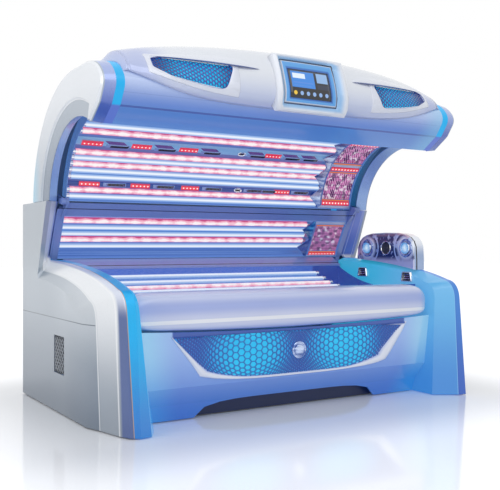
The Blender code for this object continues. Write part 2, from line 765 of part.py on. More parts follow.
def back_reflector():
    """Bright tub behind the rear lamps, open to the front."""
    floor_y = (TUB_LOW_Y + TUB_DEPTH, TUB_TOP_Y + TUB_DEPTH)
    floor_z = TUB_LOW_Z + TUB_LOW_DROP
    half = TUB_HALF - SHEET
    rings = [tub_ring((floor_y[0] - SHEET, floor_z + SHEET), (floor_y[1] - SHEET, TUB_TOP_Z - SHEET), half),
             tub_ring((TUB_LOW_Y, TUB_LOW_Z + SHEET), (TUB_TOP_Y, TUB_TOP_Z - SHEET), half),
             tub_ring((TUB_LOW_Y, TUB_LOW_Z), (TUB_TOP_Y, TUB_TOP_Z), TUB_HALF),
             tub_ring((floor_y[0], floor_z), (floor_y[1], TUB_TOP_Z), TUB_HALF)]
    loft("back_reflector", rings, "mirror")


def back_lamps():
    """Lamp tubes of the rear wall, from the lowest up."""
    for i in range(BACK_LAMPS):
        t = i / (BACK_LAMPS - 1)
        y = lerp(BACK_LAMP_LOW[0], BACK_LAMP_TOP[0], t)
        z = lerp(BACK_LAMP_LOW[1], BACK_LAMP_TOP[1], t)
        slot = "pink_lamp" if i in PINK_BACK_LAMPS else "lamp"
        rod(f"back_lamp_{i + 1}", y, z, LAMP_R, LAMP_LEFT_X, LAMP_RIGHT_X - GAP, slot)


def shoulder_tanner():
    """Shoulder unit that fills the head end of the lamp tub."""
    low_z = TUB_LOW_Z + SHEET + 2 * GAP
    high_z = TUB_TOP_Z - SHEET - GAP
    slope = TUB_LOW_DROP / TUB_DEPTH
    faces = []
    for depth in (SHOULDER_INSET, TUB_DEPTH - SHEET - GAP):
        faces.append(tub_chain((TUB_LOW_Y + depth, low_z + slope * depth), (TUB_TOP_Y + depth, high_z)))
    slab("shoulder_tanner", *faces, LAMP_RIGHT_X, TUB_HALF - SHEET - GAP, "mirror")


def hinge_beam():
    """Folded beam over the lamp tub."""
    beam = [(BEAM_REAR_Y, BEAM_TOP_Z), (BEAM_FRONT_Y, BEAM_TOP_Z), (TUB_TOP_Y, TUB_TOP_Z + GAP),
            (BEAM_REAR_Y, TUB_TOP_Z + GAP)]
    sheet("hinge_beam", beam, SHEET, -TUB_HALF, TUB_HALF, "lavender")


def rear_cover():
    """Rear and top sheet of the base, with a round cable inlet."""
    half = COLUMN_RIM_X - GAP
    skin = [(REAR_Y, REAR_COVER_LOW_Z), (REAR_Y, BEAM_TOP_Z), (BEAM_REAR_Y + GAP, BEAM_TOP_Z)]
    cover = sheet("rear_cover", skin, SKIN, -half, half, "silver")
    upper, lower = circle(INLET_X, INLET_Z, INLET_R, ROUND_SIDES)
    loop = upper + lower[::-1]
    inlet = [[(x, y, z) for x, z in loop] for y in (REAR_Y - SKIN - INLET_LENGTH, REAR_Y - SKIN / 2)]
    combine(cover, loft("inlet_boss", inlet, "dark"), "UNION")


def pan_ring(inset, z, lean_z):
    """Ring of the floor pan: narrow between the lit panels, wide between the posts behind them."""
    narrow = inner_x(lean_z) - GAP - inset
    wide = PAN_REAR_HALF - inset
    stations = [(PAN_FRONT_Y + inset, narrow), (PAN_STEP_Y + inset, narrow),
                (PAN_STEP_Y + inset + SKIN, wide), (PAN_REAR_Y - inset, wide)]
    return [(-x, y, z) for y, x in stations] + [(x, y, z) for y, x in reversed(stations)]


def open_box(name, x, y, z_low, height, wall, slot):
    """Tray with an open top."""
    def loop(inset, z):
        return [(x[0] + inset, y[0] + inset, z), (x[0] + inset, y[1] - inset, z),
                (x[1] - inset, y[1] - inset, z), (x[1] - inset, y[0] + inset, z)]

    top = z_low + height
    return loft(name, [loop(wall, z_low + wall), loop(wall, top), loop(0.0, top), loop(0.0, z_low)], slot)


def base_pan():
    """Floor pan with a raised edge."""
    top = PAN_LOW_Z + PAN_HEIGHT
    rings = [pan_ring(SKIN, PAN_LOW_Z + SKIN, PAN_LOW_Z), pan_ring(SKIN, top, PAN_LOW_Z),
             pan_ring(0.0, top, PAN_LOW_Z), pan_ring(0.0, PAN_LOW_Z, PAN_LOW_Z)]
    loft("base_pan", rings, "steel")


def foot_bar(name, side):
    """Bar under the pan that the bed stands on."""
    low = (side * FOOT_X - FOOT_WIDTH / 2, PAN_FRONT_Y + FOOT_MARGIN, 0.0)
    high = (side * FOOT_X + FOOT_WIDTH / 2, PAN_REAR_Y - FOOT_MARGIN, PAN_LOW_Z - GAP)
    box(name, low, high, "dark")


def toe_kick():
    """Dark plate behind the toe cut-out of the front panel."""
    rear = PAN_FRONT_Y - GAP
    low = (-TOE_KICK_HALF, rear - SKIN, FLOOR_CLEAR)
    box("toe_kick", low, (TOE_KICK_HALF, rear, TOE_KICK_TOP_Z), "dark")


def ballast_tray():
    """Tray of the lamp gear on the floor pan."""
    seat = PAN_LOW_Z + SKIN + GAP
    open_box("ballast_tray", BALLAST_X, BALLAST_Y, seat, BALLAST_HEIGHT, SHEET, "steel")


def cooling_fan():
    """Round blower housing on the floor pan, open at the top."""
    seat = PAN_LOW_Z + SKIN + GAP
    top = seat + FAN_HEIGHT
    rings = []
    for radius, z in ((FAN_R - SHEET, seat + SHEET), (FAN_R - SHEET, top), (FAN_R, top), (FAN_R, seat)):
        upper, lower = circle(FAN_X, FAN_Y, radius, ROUND_SIDES)
        rings.append([(x, y, z) for x, y in upper + lower[::-1]])
    loft("cooling_fan", rings, "dark")


def hinge_post(name, side):
    """Channel post from the pan to the hinge, with the base ear and the pin at its top."""
    low = PAN_LOW_Z + SKIN + GAP
    top = SEAM_Z - POST_TOP_DROP
    lean = (BEAM_FRONT_Y - TUB_LOW_Y) / (SEAM_Z - TUB_LOW_Z)
    top_front = TUB_LOW_Y + lean * (top - TUB_LOW_Z)
    x_in = TUB_HALF + GAP
    x_out = PAN_REAR_HALF - SKIN - GAP

    def loop(x, wall):
        foot = low + wall
        crest = top - wall
        front_y = POST_FRONT_Y + wall
        rear_y = POST_REAR_Y - wall
        front = [(front_y, foot), (front_y, POST_KNEE_Z), (top_front + wall, crest)]
        rear = [(rear_y, foot), (rear_y, POST_KNEE_Z), (POST_TOP_REAR_Y - wall, crest)]
        return ring(front, rear, x)

    rings = [loop(x_in + SKIN, SKIN), loop(x_out, SKIN), loop(x_out, 0.0), loop(x_in, 0.0)]
    post = loft(name, mirrored(rings, side), "steel")
    upper, lower = circle(HINGE_Y, SEAM_Z, EAR_R, ROUND_SIDES)
    seat = [(top_front + EAR_R, top - SKIN / 2), (top_front + 2 * EAR_R, top - 4 * EAR_R)]
    ear = hull(f"{name}_ear", upper + lower + seat, side * x_in, side * (x_in + EAR_T), "steel")
    combine(post, ear, "UNION")
    pin_start = side * (x_in + EAR_T / 2)
    pin_end = side * (x_in + EAR_T + EAR_SIDE_GAP + CANOPY_EAR_T + PIN_OVER)
    pin = rod(f"{name}_pin", HINGE_Y, SEAM_Z, PIN_R, pin_start, pin_end, "steel", sides=ROUND_SIDES)
    combine(post, pin, "UNION")


def rim_z(y):
    """Height of the right panel's rim at y, read from its outline."""
    edge = end_outline(0.0, 0.0, 0.0)
    for (y0, z0), (y1, z1) in zip(edge, edge[1:]):
        if y0 <= y <= y1:
            return lerp(z0, z1, (y - y0) / (y1 - y0))
    return RIM_REAR_Z


def pod_ring(x, draw, sink=0.0):
    """Ring of the head pod between a flattened arch and the panel's rim, drawn in all round."""
    middle = (POD_FRONT_Y + POD_REAR_Y) / 2
    half = (POD_REAR_Y - POD_FRONT_Y) / 2 - draw
    foot = max(rim_z(POD_FRONT_Y), rim_z(POD_REAR_Y)) + GAP
    arch = []
    base = []
    for i in range(POD_STEPS + 1):
        angle = math.pi * i / POD_STEPS
        y = middle - half * math.copysign(abs(math.cos(angle)) ** POD_SIDE_POWER, math.cos(angle))
        low = rim_z(y) + GAP
        rise = max(0.0, math.sin(angle)) ** POD_TOP_POWER
        arch.append((y, max(low + POD_FOOT_RISE, lerp(foot, POD_TOP_Z - draw, rise))))
        base.append((y, low - sink))
    return ring(arch, base, x)


def head_pod():
    """Arched pod on the right panel's rim, open below, with a speaker dent and a bore for each outlet."""
    rings = [pod_ring(POD_FACE_X, POD_EDGE), pod_ring(POD_FACE_X + POD_EDGE, 0.0),
             pod_ring(POD_SHOULDER_X, 0.0), pod_ring(POD_BACK_X, POD_BACK_DRAW)]
    pod = loft("head_pod", rings, "chrome")
    cut_x = POD_FACE_X - OUTLET_R
    dent_x = POD_FACE_X + SPEAKER_DEPTH
    dent = rod("speaker_dent", SPEAKER_Y, OUTLET_Z, SPEAKER_R, cut_x, dent_x, "dark", sides=OUTLET_SIDES)
    combine(pod, dent, "DIFFERENCE")
    wall = POD_WALL + POD_EDGE
    hollow = [pod_ring(POD_FACE_X + POD_WALL, wall, POD_OPEN_BELOW),
              pod_ring(POD_SHOULDER_X - POD_WALL, wall, POD_OPEN_BELOW)]
    combine(pod, loft("pod_hollow", hollow, "dark"), "DIFFERENCE")
    bore_r = OUTLET_R + OUTLET_CLEAR
    bore_x = POD_FACE_X + POD_WALL * 2
    for i, y in enumerate(OUTLET_Y):
        bore = rod(f"outlet_bore_{i + 1}", y, OUTLET_Z, bore_r, cut_x, bore_x, "dark", sides=OUTLET_SIDES)
        combine(pod, bore, "DIFFERENCE")


def pod_outlet(name, y):
    """Ball outlet cut flat at both ends, which swivels about its own upright axis."""
    centre_x = POD_FACE_X + POD_WALL / 2
    axis = pivot(f"{name}_axis", (centre_x, y, OUTLET_Z))
    profile = []
    for x in spread(-OUTLET_FRONT, OUTLET_BACK, OUTLET_STEPS):
        profile.append((centre_x + x, math.sqrt(OUTLET_R ** 2 - x ** 2)))
    turned(name, y, OUTLET_Z, profile, "glass_blue", axis, OUTLET_SIDES)


def head_vent(name, y, z):
    """Air vent on the leaning face of the right lit panel."""
    half_y, half_z = HEAD_VENT_HALF
    low = [(y - half_y, z - half_z), (y + half_y, z - half_z)]
    high = [(y - half_y + HEAD_VENT_CUT, z + half_z), (y + half_y, z + half_z)]
    rings = [ring(low, high, lambda p: inner_x(p[1]) - GAP),
             ring(low, high, lambda p: inner_x(p[1]) - HEAD_VENT_T)]
    loft(name, rings, "chrome")


def canopy_profile():
    """Outer outline of the canopy from the rear seam over crown and nose to the lip."""
    start = math.degrees(math.asin((SEAM_Z + SEAM_GAP / 2 - ARC_Z) / CANOPY_R))
    crown = [polar(CANOPY_R, a) for a in spread(start, CROWN_DEG, CROWN_STEPS)]
    nose_top = polar(CANOPY_R + NOSE_TOP_OUT, NOSE_TOP_DEG)
    nose_tip = polar(CANOPY_R + NOSE_TIP_OUT, NOSE_TIP_DEG)
    nose_foot = polar(CANOPY_R - NOSE_FOOT_IN, NOSE_FOOT_DEG)
    brow = bezier(crown[-1], polar(CANOPY_R + BROW_BULGE, BROW_DEG), nose_top, BROW_STEPS)
    nose = bezier(nose_top, nose_tip, nose_foot, NOSE_TURN_STEPS)
    crease = polar(CANOPY_R - CREASE_IN, CREASE_DEG)
    lip = polar(TUBE_RIM_R - LIP_IN, LIP_DEG)
    return crown + brow[1:] + nose[1:] + [crease, lip]


def cap_inner(radius, spread_out, turn, outline):
    """Inner edge of a cap, one point for each point of its outer outline."""
    start = math.asin((SEAM_Z + SEAM_GAP / 2 - ARC_Z) / radius)
    points = []
    last = len(outline) - 1
    tip = math.degrees(math.atan2(outline[last][1] - ARC_Z, outline[last][0] - ARC_Y)) - turn
    for i, (y, z) in enumerate(outline):
        t = i / last
        degrees = lerp(math.degrees(start), tip, t)
        reach = math.hypot(y - ARC_Y, z - ARC_Z)
        points.append(polar(min(radius + spread_out * t * t, reach - CAP_TIP_T), degrees))
    points[0] = (points[0][0], outline[0][1])
    return points


def cap_ring(x, inset, radius, spread_out, turn, wall=0.0):
    """Ring of a cap between its outer outline, drawn in by an inset, and its inner edge."""
    seam = SEAM_Z + SEAM_GAP / 2
    outer = offset(canopy_profile(), inset)
    outer[0] = (outer[0][0], seam)
    inner = cap_inner(radius, spread_out, turn, outer)
    if wall:
        outer = offset(outer, wall)
        inner = offset(inner, -wall)
        outer[0] = (outer[0][0], seam + wall)
        inner[0] = (inner[0][0], seam + wall)
        back = Vector(inner[-2]) - Vector(inner[-1])
        inner[-1] = tuple(Vector(inner[-1]) + back.normalized() * 2 * wall)
    return ring(outer, inner, x)


def canopy_cap(name, side, hinge):
    """End cap: raised outer face, recessed scoop inside it, and a slanting band to the tunnel."""
    face = HALF_LENGTH
    floor = HALF_LENGTH - SCOOP_DEPTH
    stages = ((CAP_X + GAP, 0.0, CAP_INNER_R, -LIP_IN, CAP_TIP_TURN_DEG),
              (floor - SCOOP_SLOPE, CAP_BEVEL, CAP_OUTER_R, CAP_OUTER_SPREAD, CAP_TIP_TURN_DEG),
              (floor, CAP_EDGE, SCOOP_R - SCOOP_STEP, 0.0, SCOOP_FLOOR_TURN_DEG),
              (face, CAP_FACE_INSET, SCOOP_R, 0.0, SCOOP_FACE_TURN_DEG))
    outer = [cap_ring(*stage) for stage in stages]
    inner = [cap_ring(x - (SKIN if i else 0.0), *rest, SKIN) for i, (x, *rest) in enumerate(stages)]
    cap = loft(name, mirrored(inner[::-1] + outer, side), "silver", hinge)
    canopy_ear(cap, side)


def canopy_ear(cap, side):
    """Ear on a block inside a cap, bored for the hinge pin."""
    x_low = TUB_HALF + GAP + EAR_T + EAR_SIDE_GAP
    x_high = x_low + CANOPY_EAR_T
    floor_z = SEAM_Z + SEAM_GAP / 2
    block_low = floor_z + SKIN / 2
    block_top = floor_z + EAR_BLOCK_HEIGHT
    upper, lower = circle(HINGE_Y, SEAM_Z, EAR_R, ROUND_SIDES)
    ear_rear = EAR_BLOCK_Y[1] + SKIN
    ear_top = block_top + SKIN
    seat = [(ear_rear, block_low + SKIN), (ear_rear, ear_top), (EAR_BLOCK_Y[0], ear_top)]
    ear = hull(f"{cap.name}_ear", upper + lower + seat, side * x_low, side * x_high, "steel")
    combine(cap, ear, "UNION")
    near, far = sorted((side * (x_high - SKIN), side * (CAP_X + EAR_BLOCK_REACH)))
    low_corner = (near, EAR_BLOCK_Y[0], block_low)
    high_corner = (far, EAR_BLOCK_Y[1], block_top)
    block = box(f"{cap.name}_block", low_corner, high_corner, "steel")
    combine(cap, block, "UNION")
    bore_start = side * (x_low - EAR_T / 2)
    bore_end = side * (x_high + PIN_OVER * 2)
    bore_r = PIN_R + PIN_CLEAR
    bore = rod(f"{cap.name}_bore", HINGE_Y, SEAM_Z, bore_r, bore_start, bore_end, "dark", sides=ROUND_SIDES)
    combine(cap, bore, "DIFFERENCE")


def cap_light(name, side, hinge):
    """Lit strip round the canopy beside a cap."""
    ends = sorted((side * (STRIP_X + GAP), side * CAP_X))
    sheet(name, canopy_profile(), STRIP_T, *ends, "cyan", hinge)


def canopy_shell(hinge):
    """Rear and top skin of the canopy, to a seam in the brow."""
    profile = canopy_profile()
    lining = offset(profile, SKIN)
    seam = SHELL_SEAM
    slab("canopy_shell", profile[:seam], lining[:seam], -STRIP_X, STRIP_X, "silver", hinge)


def canopy_hood(hinge):
    """Front skin of the canopy, from the brow's seam round the nose to the lamps."""
    profile = canopy_profile()
    lining = offset(profile, SKIN)
    seam = SHELL_SEAM
    seat = REFLECTOR_END_DEG + math.degrees((SHEET + GAP) / TUBE_RIM_R)
    lip_r = TUBE_RIM_R + HOOD_LIP_T
    outer_chain = [step_along(profile, seam - 1, GAP)] + profile[seam:] + [polar(TUBE_RIM_R, seat)]
    inner_chain = [step_along(lining, seam - 1, GAP)] + lining[seam:-1]
    inner_chain += [polar(lip_r, seat + HOOD_TURN_DEG), polar(lip_r, seat)]
    slab("canopy_hood", outer_chain, inner_chain, -STRIP_X, STRIP_X, "lavender", hinge)


def sector(half_low, half_high, radius, start, end, steps):
    """Ring round a sector of the canopy's tunnel, between two x and two angles at one radius."""
    edge = [polar(radius, a) for a in spread(start, end, steps)]
    return [(half_low, y, z) for y, z in edge] + [(half_high, y, z) for y, z in reversed(edge)]


def canopy_reflector(hinge):
    """Bright tub round the canopy's lamps, open to the bench."""
    turn = math.degrees(SHEET / TUBE_RIM_R)
    inside = (-TUB_HALF + SHEET, TUB_HALF - SHEET)
    start, end = REFLECTOR_START_DEG, REFLECTOR_END_DEG
    rings = [sector(*inside, REFLECTOR_R - SHEET, start, end, REFLECTOR_STEPS),
             sector(*inside, TUBE_RIM_R, start, end, REFLECTOR_STEPS),
             sector(-TUB_HALF, TUB_HALF, TUBE_RIM_R, start - turn, end + turn, REFLECTOR_STEPS),
             sector(-TUB_HALF, TUB_HALF, REFLECTOR_R, start - turn, end + turn, REFLECTOR_STEPS)]
    loft("canopy_reflector", rings, "mirror", hinge)


def led_bar(name, row, half, hinge):
    """Bar of red lights between two lamp rows."""
    sides = (ROW_DEGREES[row] - half, ROW_DEGREES[row] + half)
    face = [polar(TUBE_RIM_R + LED_FACE_DEPTH, a) for a in sides]
    back = [polar(TUBE_RIM_R + LED_BACK_DEPTH, a) for a in sides]
    slab(name, face, back, LAMP_LEFT_X, LAMP_RIGHT_X - GAP, "led", hinge)


def canopy_lamps(hinge):
    """Lamp tubes of the canopy that face the open front, from the lowest up."""
    rows = [row for row in range(ROW_COUNT) if row not in LED_ROWS]
    for i, row in enumerate(rows):
        y, z = polar(LAMP_ROW_R, ROW_DEGREES[row])
        slot = "pink_lamp" if row in PINK_ROWS else "lamp"
        rod(f"canopy_lamp_{i + 1}", y, z, LAMP_R, LAMP_LEFT_X, LAMP_RIGHT_X - GAP, slot, hinge)


def front_holder(name, x_low, parent=None):
    """Curved cross bar that the canopy's front lamps end in."""
    low = FRONT_HOLDER_DEG
    high = REFLECTOR_END_DEG - math.degrees(GAP / TUBE_RIM_R)
    angles = spread(low, high, FRONT_HOLDER_STEPS)
    upper = [polar(LAMP_ROW_R, a) for a in angles]
    lower = [polar(REFLECTOR_R - SHEET - FRONT_HOLDER_DROP, a) for a in angles]
    return slab(name, upper, lower, x_low, x_low + HOLDER_T, "lamp", parent)


def front_lamp_bank(hinge):
    """Lamps behind the canopy's hood, joined by their two holders."""
    bank = front_holder("canopy_front_lamp_bank", LAMP_LEFT_X, hinge)
    combine(bank, front_holder("front_holder", LAMP_RIGHT_X - HOLDER_T), "UNION")
    low_x = LAMP_LEFT_X + HOLDER_T / 2
    high_x = LAMP_RIGHT_X - HOLDER_T / 2
    for i in range(FRONT_ROW_COUNT):
        y, z = polar(LAMP_ROW_R, FRONT_START_DEG + FRONT_STEP_DEG * i)
        combine(bank, rod(f"front_lamp_{i + 1}", y, z, LAMP_R, low_x, high_x, "lamp"), "UNION")


def face_tanner(hinge):
    """Face unit at the canopy's head end, a tray with its face towards the bench."""
    start = REFLECTOR_START_DEG + math.degrees(GAP / TUBE_RIM_R)
    turn = math.degrees(SHEET / TUBE_RIM_R)
    span = (start, TANNER_END_DEG)
    span_in = (start + turn, TANNER_END_DEG - turn)
    x = (LAMP_RIGHT_X, TUB_HALF - SHEET - GAP)
    x_in = (x[0] + SHEET, x[1] - SHEET)
    face_r = TUBE_RIM_R + TANNER_LIFT
    facet = math.radians(REFLECTOR_END_DEG - REFLECTOR_START_DEG) / REFLECTOR_STEPS
    back_r = (REFLECTOR_R - SHEET) * math.cos(facet / 2) - GAP
    rings = [sector(*x_in, face_r + SHEET, *span_in, TANNER_STEPS),
             sector(*x_in, back_r, *span_in, TANNER_STEPS),
             sector(*x, back_r, *span, TANNER_STEPS),
             sector(*x, face_r, *span, TANNER_STEPS)]
    loft("face_tanner", rings, "mirror", hinge)


def along_profile(distance):
    """Point of the canopy outline at a distance back from the lip."""
    chain = [Vector(p) for p in reversed(canopy_profile())]
    for a, b in zip(chain, chain[1:]):
        length = (b - a).length
        if distance <= length:
            return a.lerp(b, distance / length)
        distance -= length
    return chain[-1]


def cover_chain(x, lift):
    """Top cover's outline at x, from its rear edge to its front edge, lifted off its own surface."""
    share = abs(x) / COVER_HALF
    height = max(0.0, 1 - (x / COVER_BASE) ** 2) ** COVER_POWER
    front = lerp(COVER_FRONT_MID, COVER_FRONT_END, share ** COVER_END_POWER)
    base = [along_profile(d) for d in spread(COVER_REAR, front, COVER_POINTS)]
    seated = offset(base, -COVER_SEAT - SKIN)
    raised = offset(base, -COVER_SEAT - SKIN - COVER_SHOULDER)
    chain = []
    for i in range(COVER_POINTS + 1):
        swell = math.sin(math.pi * i / COVER_POINTS)
        rounding = min(1.0, COVER_EDGE_TURN * swell + COVER_FRONT_TURN * i / COVER_POINTS)
        y = lerp(seated[i][0], raised[i][0], rounding)
        z = lerp(seated[i][1], raised[i][1], rounding)
        reach = COVER_REACH * max(0.0, swell) ** COVER_REACH_POWER
        rise = COVER_LIFT * max(0.0, swell) ** COVER_LIFT_POWER
        chain.append((y - height * reach, z + height * rise))
    return offset(chain, -lift) if lift else chain


def cover_patch(name, steps, points, outer, thick, slot, hinge, side=1):
    """Piece that follows the top cover's surface between two stations and two outline points."""
    first, last = points
    rings = []
    for k in steps:
        x = COVER_HALF * k / COVER_STEPS
        front = cover_chain(x, outer(k))[::-1][first:last + 1]
        back = cover_chain(x, outer(k) - thick)[::-1][first:last + 1]
        rings.append(ring(front, back, x))
    return loft(name, mirrored(rings, side), slot, hinge)


def grille_window():
    """Rings of the cutter for the left grille's window, a little smaller than the grille."""
    low_k, high_k = TOP_GRILLE_STEPS
    low_p, high_p = TOP_GRILLE_POINTS
    lower = []
    upper = []
    for k in range(-high_k, -low_k + 1):
        edge = cover_chain(COVER_HALF * k / COVER_STEPS, -SKIN)[::-1]
        inset = {-high_k: TOP_WINDOW_INSET, -low_k: -TOP_WINDOW_INSET}.get(k, 0.0)
        x = COVER_HALF * k / COVER_STEPS + inset
        lower.append((x, edge[low_p][1] + TOP_WINDOW_INSET))
        upper.append((x, edge[high_p][1] - TOP_WINDOW_INSET))
    return [[(x, y, z) for x, z in lower + upper[::-1]] for y in (NOSE_Y, WINDOW_CUT_Y)]


def top_cover(hinge):
    """Brow over the canopy's front, with a window for each grille."""
    rings = []
    for k in range(-COVER_STEPS, 1):
        x = COVER_HALF * k / COVER_STEPS
        rings.append(ring(cover_chain(x, 0.0), cover_chain(x, -SKIN), x))
    cover = loft("top_cover", rings, "white_silver", hinge, halved=True)
    for name, side in (("left_window", 1), ("right_window", -1)):
        combine(cover, loft(name, mirrored(grille_window(), side), "dark"), "DIFFERENCE")


def top_grille(name, side, hinge):
    """Grille behind a window of the top cover, bowed towards the window in its middle."""
    low_k, high_k = TOP_GRILLE_STEPS

    def lift(k):
        share = (abs(k) - low_k) / (high_k - low_k)
        return -SKIN - TOP_GRILLE_SEAT - TOP_GRILLE_SINK * (2 * share - 1) ** 2

    steps = range(-high_k, -low_k + 1)
    cover_patch(name, steps, TOP_GRILLE_POINTS, lift, SHEET, "cyan", hinge, side)


def display(hinge):
    """Screen housing on the middle of the top cover."""
    steps = range(-DISPLAY_STEPS, DISPLAY_STEPS + 1)
    cover_patch("display", steps, DISPLAY_POINTS, lambda k: DISPLAY_T + GAP, DISPLAY_T, "dark", hinge)


def main():
    for obj in list(bpy.data.objects):
        bpy.data.objects.remove(obj)
    left_panel = end_panel("left_end_panel", -1)
    end_panel("right_end_panel", 1)
    vent_grille(left_panel)
    base_pan()
    toe_kick()
    ballast_tray()
    cooling_fan()
    front_panel()
    front_grille()
    front_badge()
    front_rail()
    bench_acrylic()
    bench_reflector()
    bench_lamp_bank()
    rear_ledge()
    back_reflector()
    back_lamps()
    shoulder_tanner()
    hinge_beam()
    rear_cover()
    head_pod()
    for name, y in zip(("pod_outlet_front", "pod_outlet_rear"), OUTLET_Y):
        pod_outlet(name, y)
    for name, y, z in zip(("head_vent_front", "head_vent_rear"), HEAD_VENT_Y, HEAD_VENT_Z):
        head_vent(name, y, z)
    hinge = pivot("canopy_hinge", (0.0, HINGE_Y, SEAM_Z))
    for hand, side in (("left", -1), ("right", 1)):
        light_panel(f"{hand}_light_panel", side)
        foot_bar(f"foot_{hand}", side)
        hinge_post(f"{hand}_hinge_post", side)
        canopy_cap(f"canopy_{hand}_cap", side, hinge)
        cap_light(f"{hand}_cap_light", side, hinge)
        top_grille(f"{hand}_top_grille", -side, hinge)
    canopy_shell(hinge)
    canopy_hood(hinge)
    canopy_reflector(hinge)
    canopy_lamps(hinge)
    for name, row, half in zip(("led_bar_lower", "led_bar_upper"), LED_ROWS, LED_HALF_DEGS):
        led_bar(name, row, half, hinge)
    front_lamp_bank(hinge)
    face_tanner(hinge)
    top_cover(hinge)
    display(hinge)
    bpy.context.view_layer.update()


main()
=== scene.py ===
"""Tanning bed: lit looks around the packed frame, as an add-on with one operator for each group of pieces.

Frame: X along the bed with the head end at +X, Y from front to rear, Z up, in metres. Outlines are chains
of (y, z) points. Each new piece is a grid of points worked out as whole arrays, then closed and given its
finish.
"""
import math
from functools import partialmethod

import bmesh
import bpy
import numpy as np
from bpy.props import FloatProperty, FloatVectorProperty, IntProperty, PointerProperty
from bpy.types import Operator, Panel, PropertyGroup
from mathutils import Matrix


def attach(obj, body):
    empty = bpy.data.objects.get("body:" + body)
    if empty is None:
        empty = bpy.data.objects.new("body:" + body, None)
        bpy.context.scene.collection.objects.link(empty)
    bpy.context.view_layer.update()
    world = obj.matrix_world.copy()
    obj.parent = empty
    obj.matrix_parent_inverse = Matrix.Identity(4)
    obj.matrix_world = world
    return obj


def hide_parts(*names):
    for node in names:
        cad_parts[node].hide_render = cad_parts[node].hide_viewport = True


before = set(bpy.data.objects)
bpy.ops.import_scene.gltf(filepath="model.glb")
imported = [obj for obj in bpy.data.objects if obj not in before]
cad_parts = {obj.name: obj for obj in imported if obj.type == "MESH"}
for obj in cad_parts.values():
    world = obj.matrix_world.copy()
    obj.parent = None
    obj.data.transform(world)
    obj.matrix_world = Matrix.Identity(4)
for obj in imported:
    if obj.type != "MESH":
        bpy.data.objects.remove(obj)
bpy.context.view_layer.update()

bl_info = {
    "name": "Tanning bed",
    "version": (1, 0, 0),
    "blender": (4, 5, 0),
    "location": "View3D > Sidebar > Tanning bed",
    "description": "Builds the lit surfaces of a tanning bed around its solid frame",
    "category": "Object",
}

# Overall sizes and clearances
HALF_LENGTH = 1.200
NOSE_Y = -0.752
REAR_Y = 0.752
SEAM_Z = 1.191
FLOOR_CLEAR = 0.006
GAP = 0.0003
SKIN = 0.004
SHEET = 0.003

# End panels and the lit panels inside them
PANEL_DEPTH = 0.140
PANEL_RIM_X = 1.060
COLUMN_RIM_X = 1.118
HEAD_EXTRA = 0.075
NOSE_LEAN = 0.052
NOSE_TOP_Z = 0.600
NOSE_FULL = (0.010, 0.012)
RIM_FRONT = (-0.600, 0.715)
RIM_REAR = (0.430, 0.845)
RIM_BOW = (-0.250, 0.825)
COLUMN_STEP_Z = 0.025
COLUMN_TAPER = 0.09
COLUMN_TOP = (0.262, 1.189)
NOSE_STEPS = 14
RIM_STEPS = 18
RIM_POINTS = NOSE_STEPS + RIM_STEPS + 2
PANEL_LEVELS = ((0.000, 0.360, 0.110, 0.010), (0.032, 0.255, 0.066, 0.014), (0.071, 0.089, 0.012, 0.040),
                (0.096, 0.027, 0.003, 0.046), (PANEL_DEPTH, 0.000, 0.000, 0.050))
VENT = (0.043, 0.325, 0.173, 0.210)
VENT_CELL = (0.0145, 0.01798)
VENT_QUAD = 4
GROOVE_Z = 0.525
VENT_ROWS = ((0.220 - FLOOR_CLEAR) / (0.490 - FLOOR_CLEAR), (0.430 - FLOOR_CLEAR) / (0.490 - FLOOR_CLEAR))
INNER_FLOOR_X = 0.945
INNER_LEAN = 0.128
LIGHT_REAR_Y = 0.420
STRIP_SHARE = {-1: 0.55, 1: 0.30}
STRIP_INSET = (0.008, 0.003)
FACE_INSET = (0.100, 0.020)

# Front panel, window and rail
FACE_Y = -0.560
WINDOW_TOP_Z = 0.452
WINDOW_TOP_HALF = 0.800
WINDOW_LOW_Z = 0.205
WINDOW_LOW_HALF = 0.620
WINDOW_LOW_RISE = 0.045
BADGE_Z = 0.338
BADGE_R = 0.0485
GRILLE_EYE = (0.324, 0.352)
BROW_EYE = 0.690
RAIL_BACK_Y = -0.430
RAIL_HALF = 1.002
RAIL_TOP_Z = 0.685
RAIL_LOW_Z = 0.465
RAIL_LOW_RISE = 0.025
RAIL_BOW = 0.018
RAIL_LEVELS = ((0.000, 0.000, 0.000, 0.000), (0.070, 0.006, 0.000, 0.002), (0.112, 0.032, 0.008, 0.012),
               (0.126, 0.075, 0.020, 0.027), (0.132, 0.100, 0.045, 0.050))

# Bench and rear wall
BENCH_ARC_Y = -0.165
BENCH_LOW_Z = 0.659
BENCH_R = 1.162
BENCH_Y = (-0.428, 0.378)
BENCH_HALF = 1.020
ACRYLIC = 0.008
TRAY_Y = (-0.4267, 0.377)
LAMP_X = (-1.0667, 0.7997)
BENCH_LAMP_X = (-1.0117, 0.800)
BENCH_LAMP_Y = (-0.3884, 0.3387)
BENCH_LAMPS = 10
LAMP_DROP = 0.040
BENCH_LAMP_TURN = math.pi * 0.76
HOLDER_DROP = (0.062, 0.0963)
HOLDER_WIDE = 0.012
TUBE_SIDES = 24
BACK_LAMP_LOW = (0.527, 0.934)
BACK_LAMP_TOP = (0.450, 1.086)
BACK_LAMPS = 5
BACK_PINK_ROWS = (1, 4)
BACK_ROW_SHARE = 0.27
BACK_ROW_PITCH = 0.146
TUB_LOW = (0.477, 0.850)
TUB_TOP = (0.347, 1.108)
TUB_HALF = 1.070
TUB_OUT = (0.893, 0.450)
FLUTE_X = (-1.064, -0.4, 0.3, 0.798)
TANNER_X = (0.800, 1.0667)

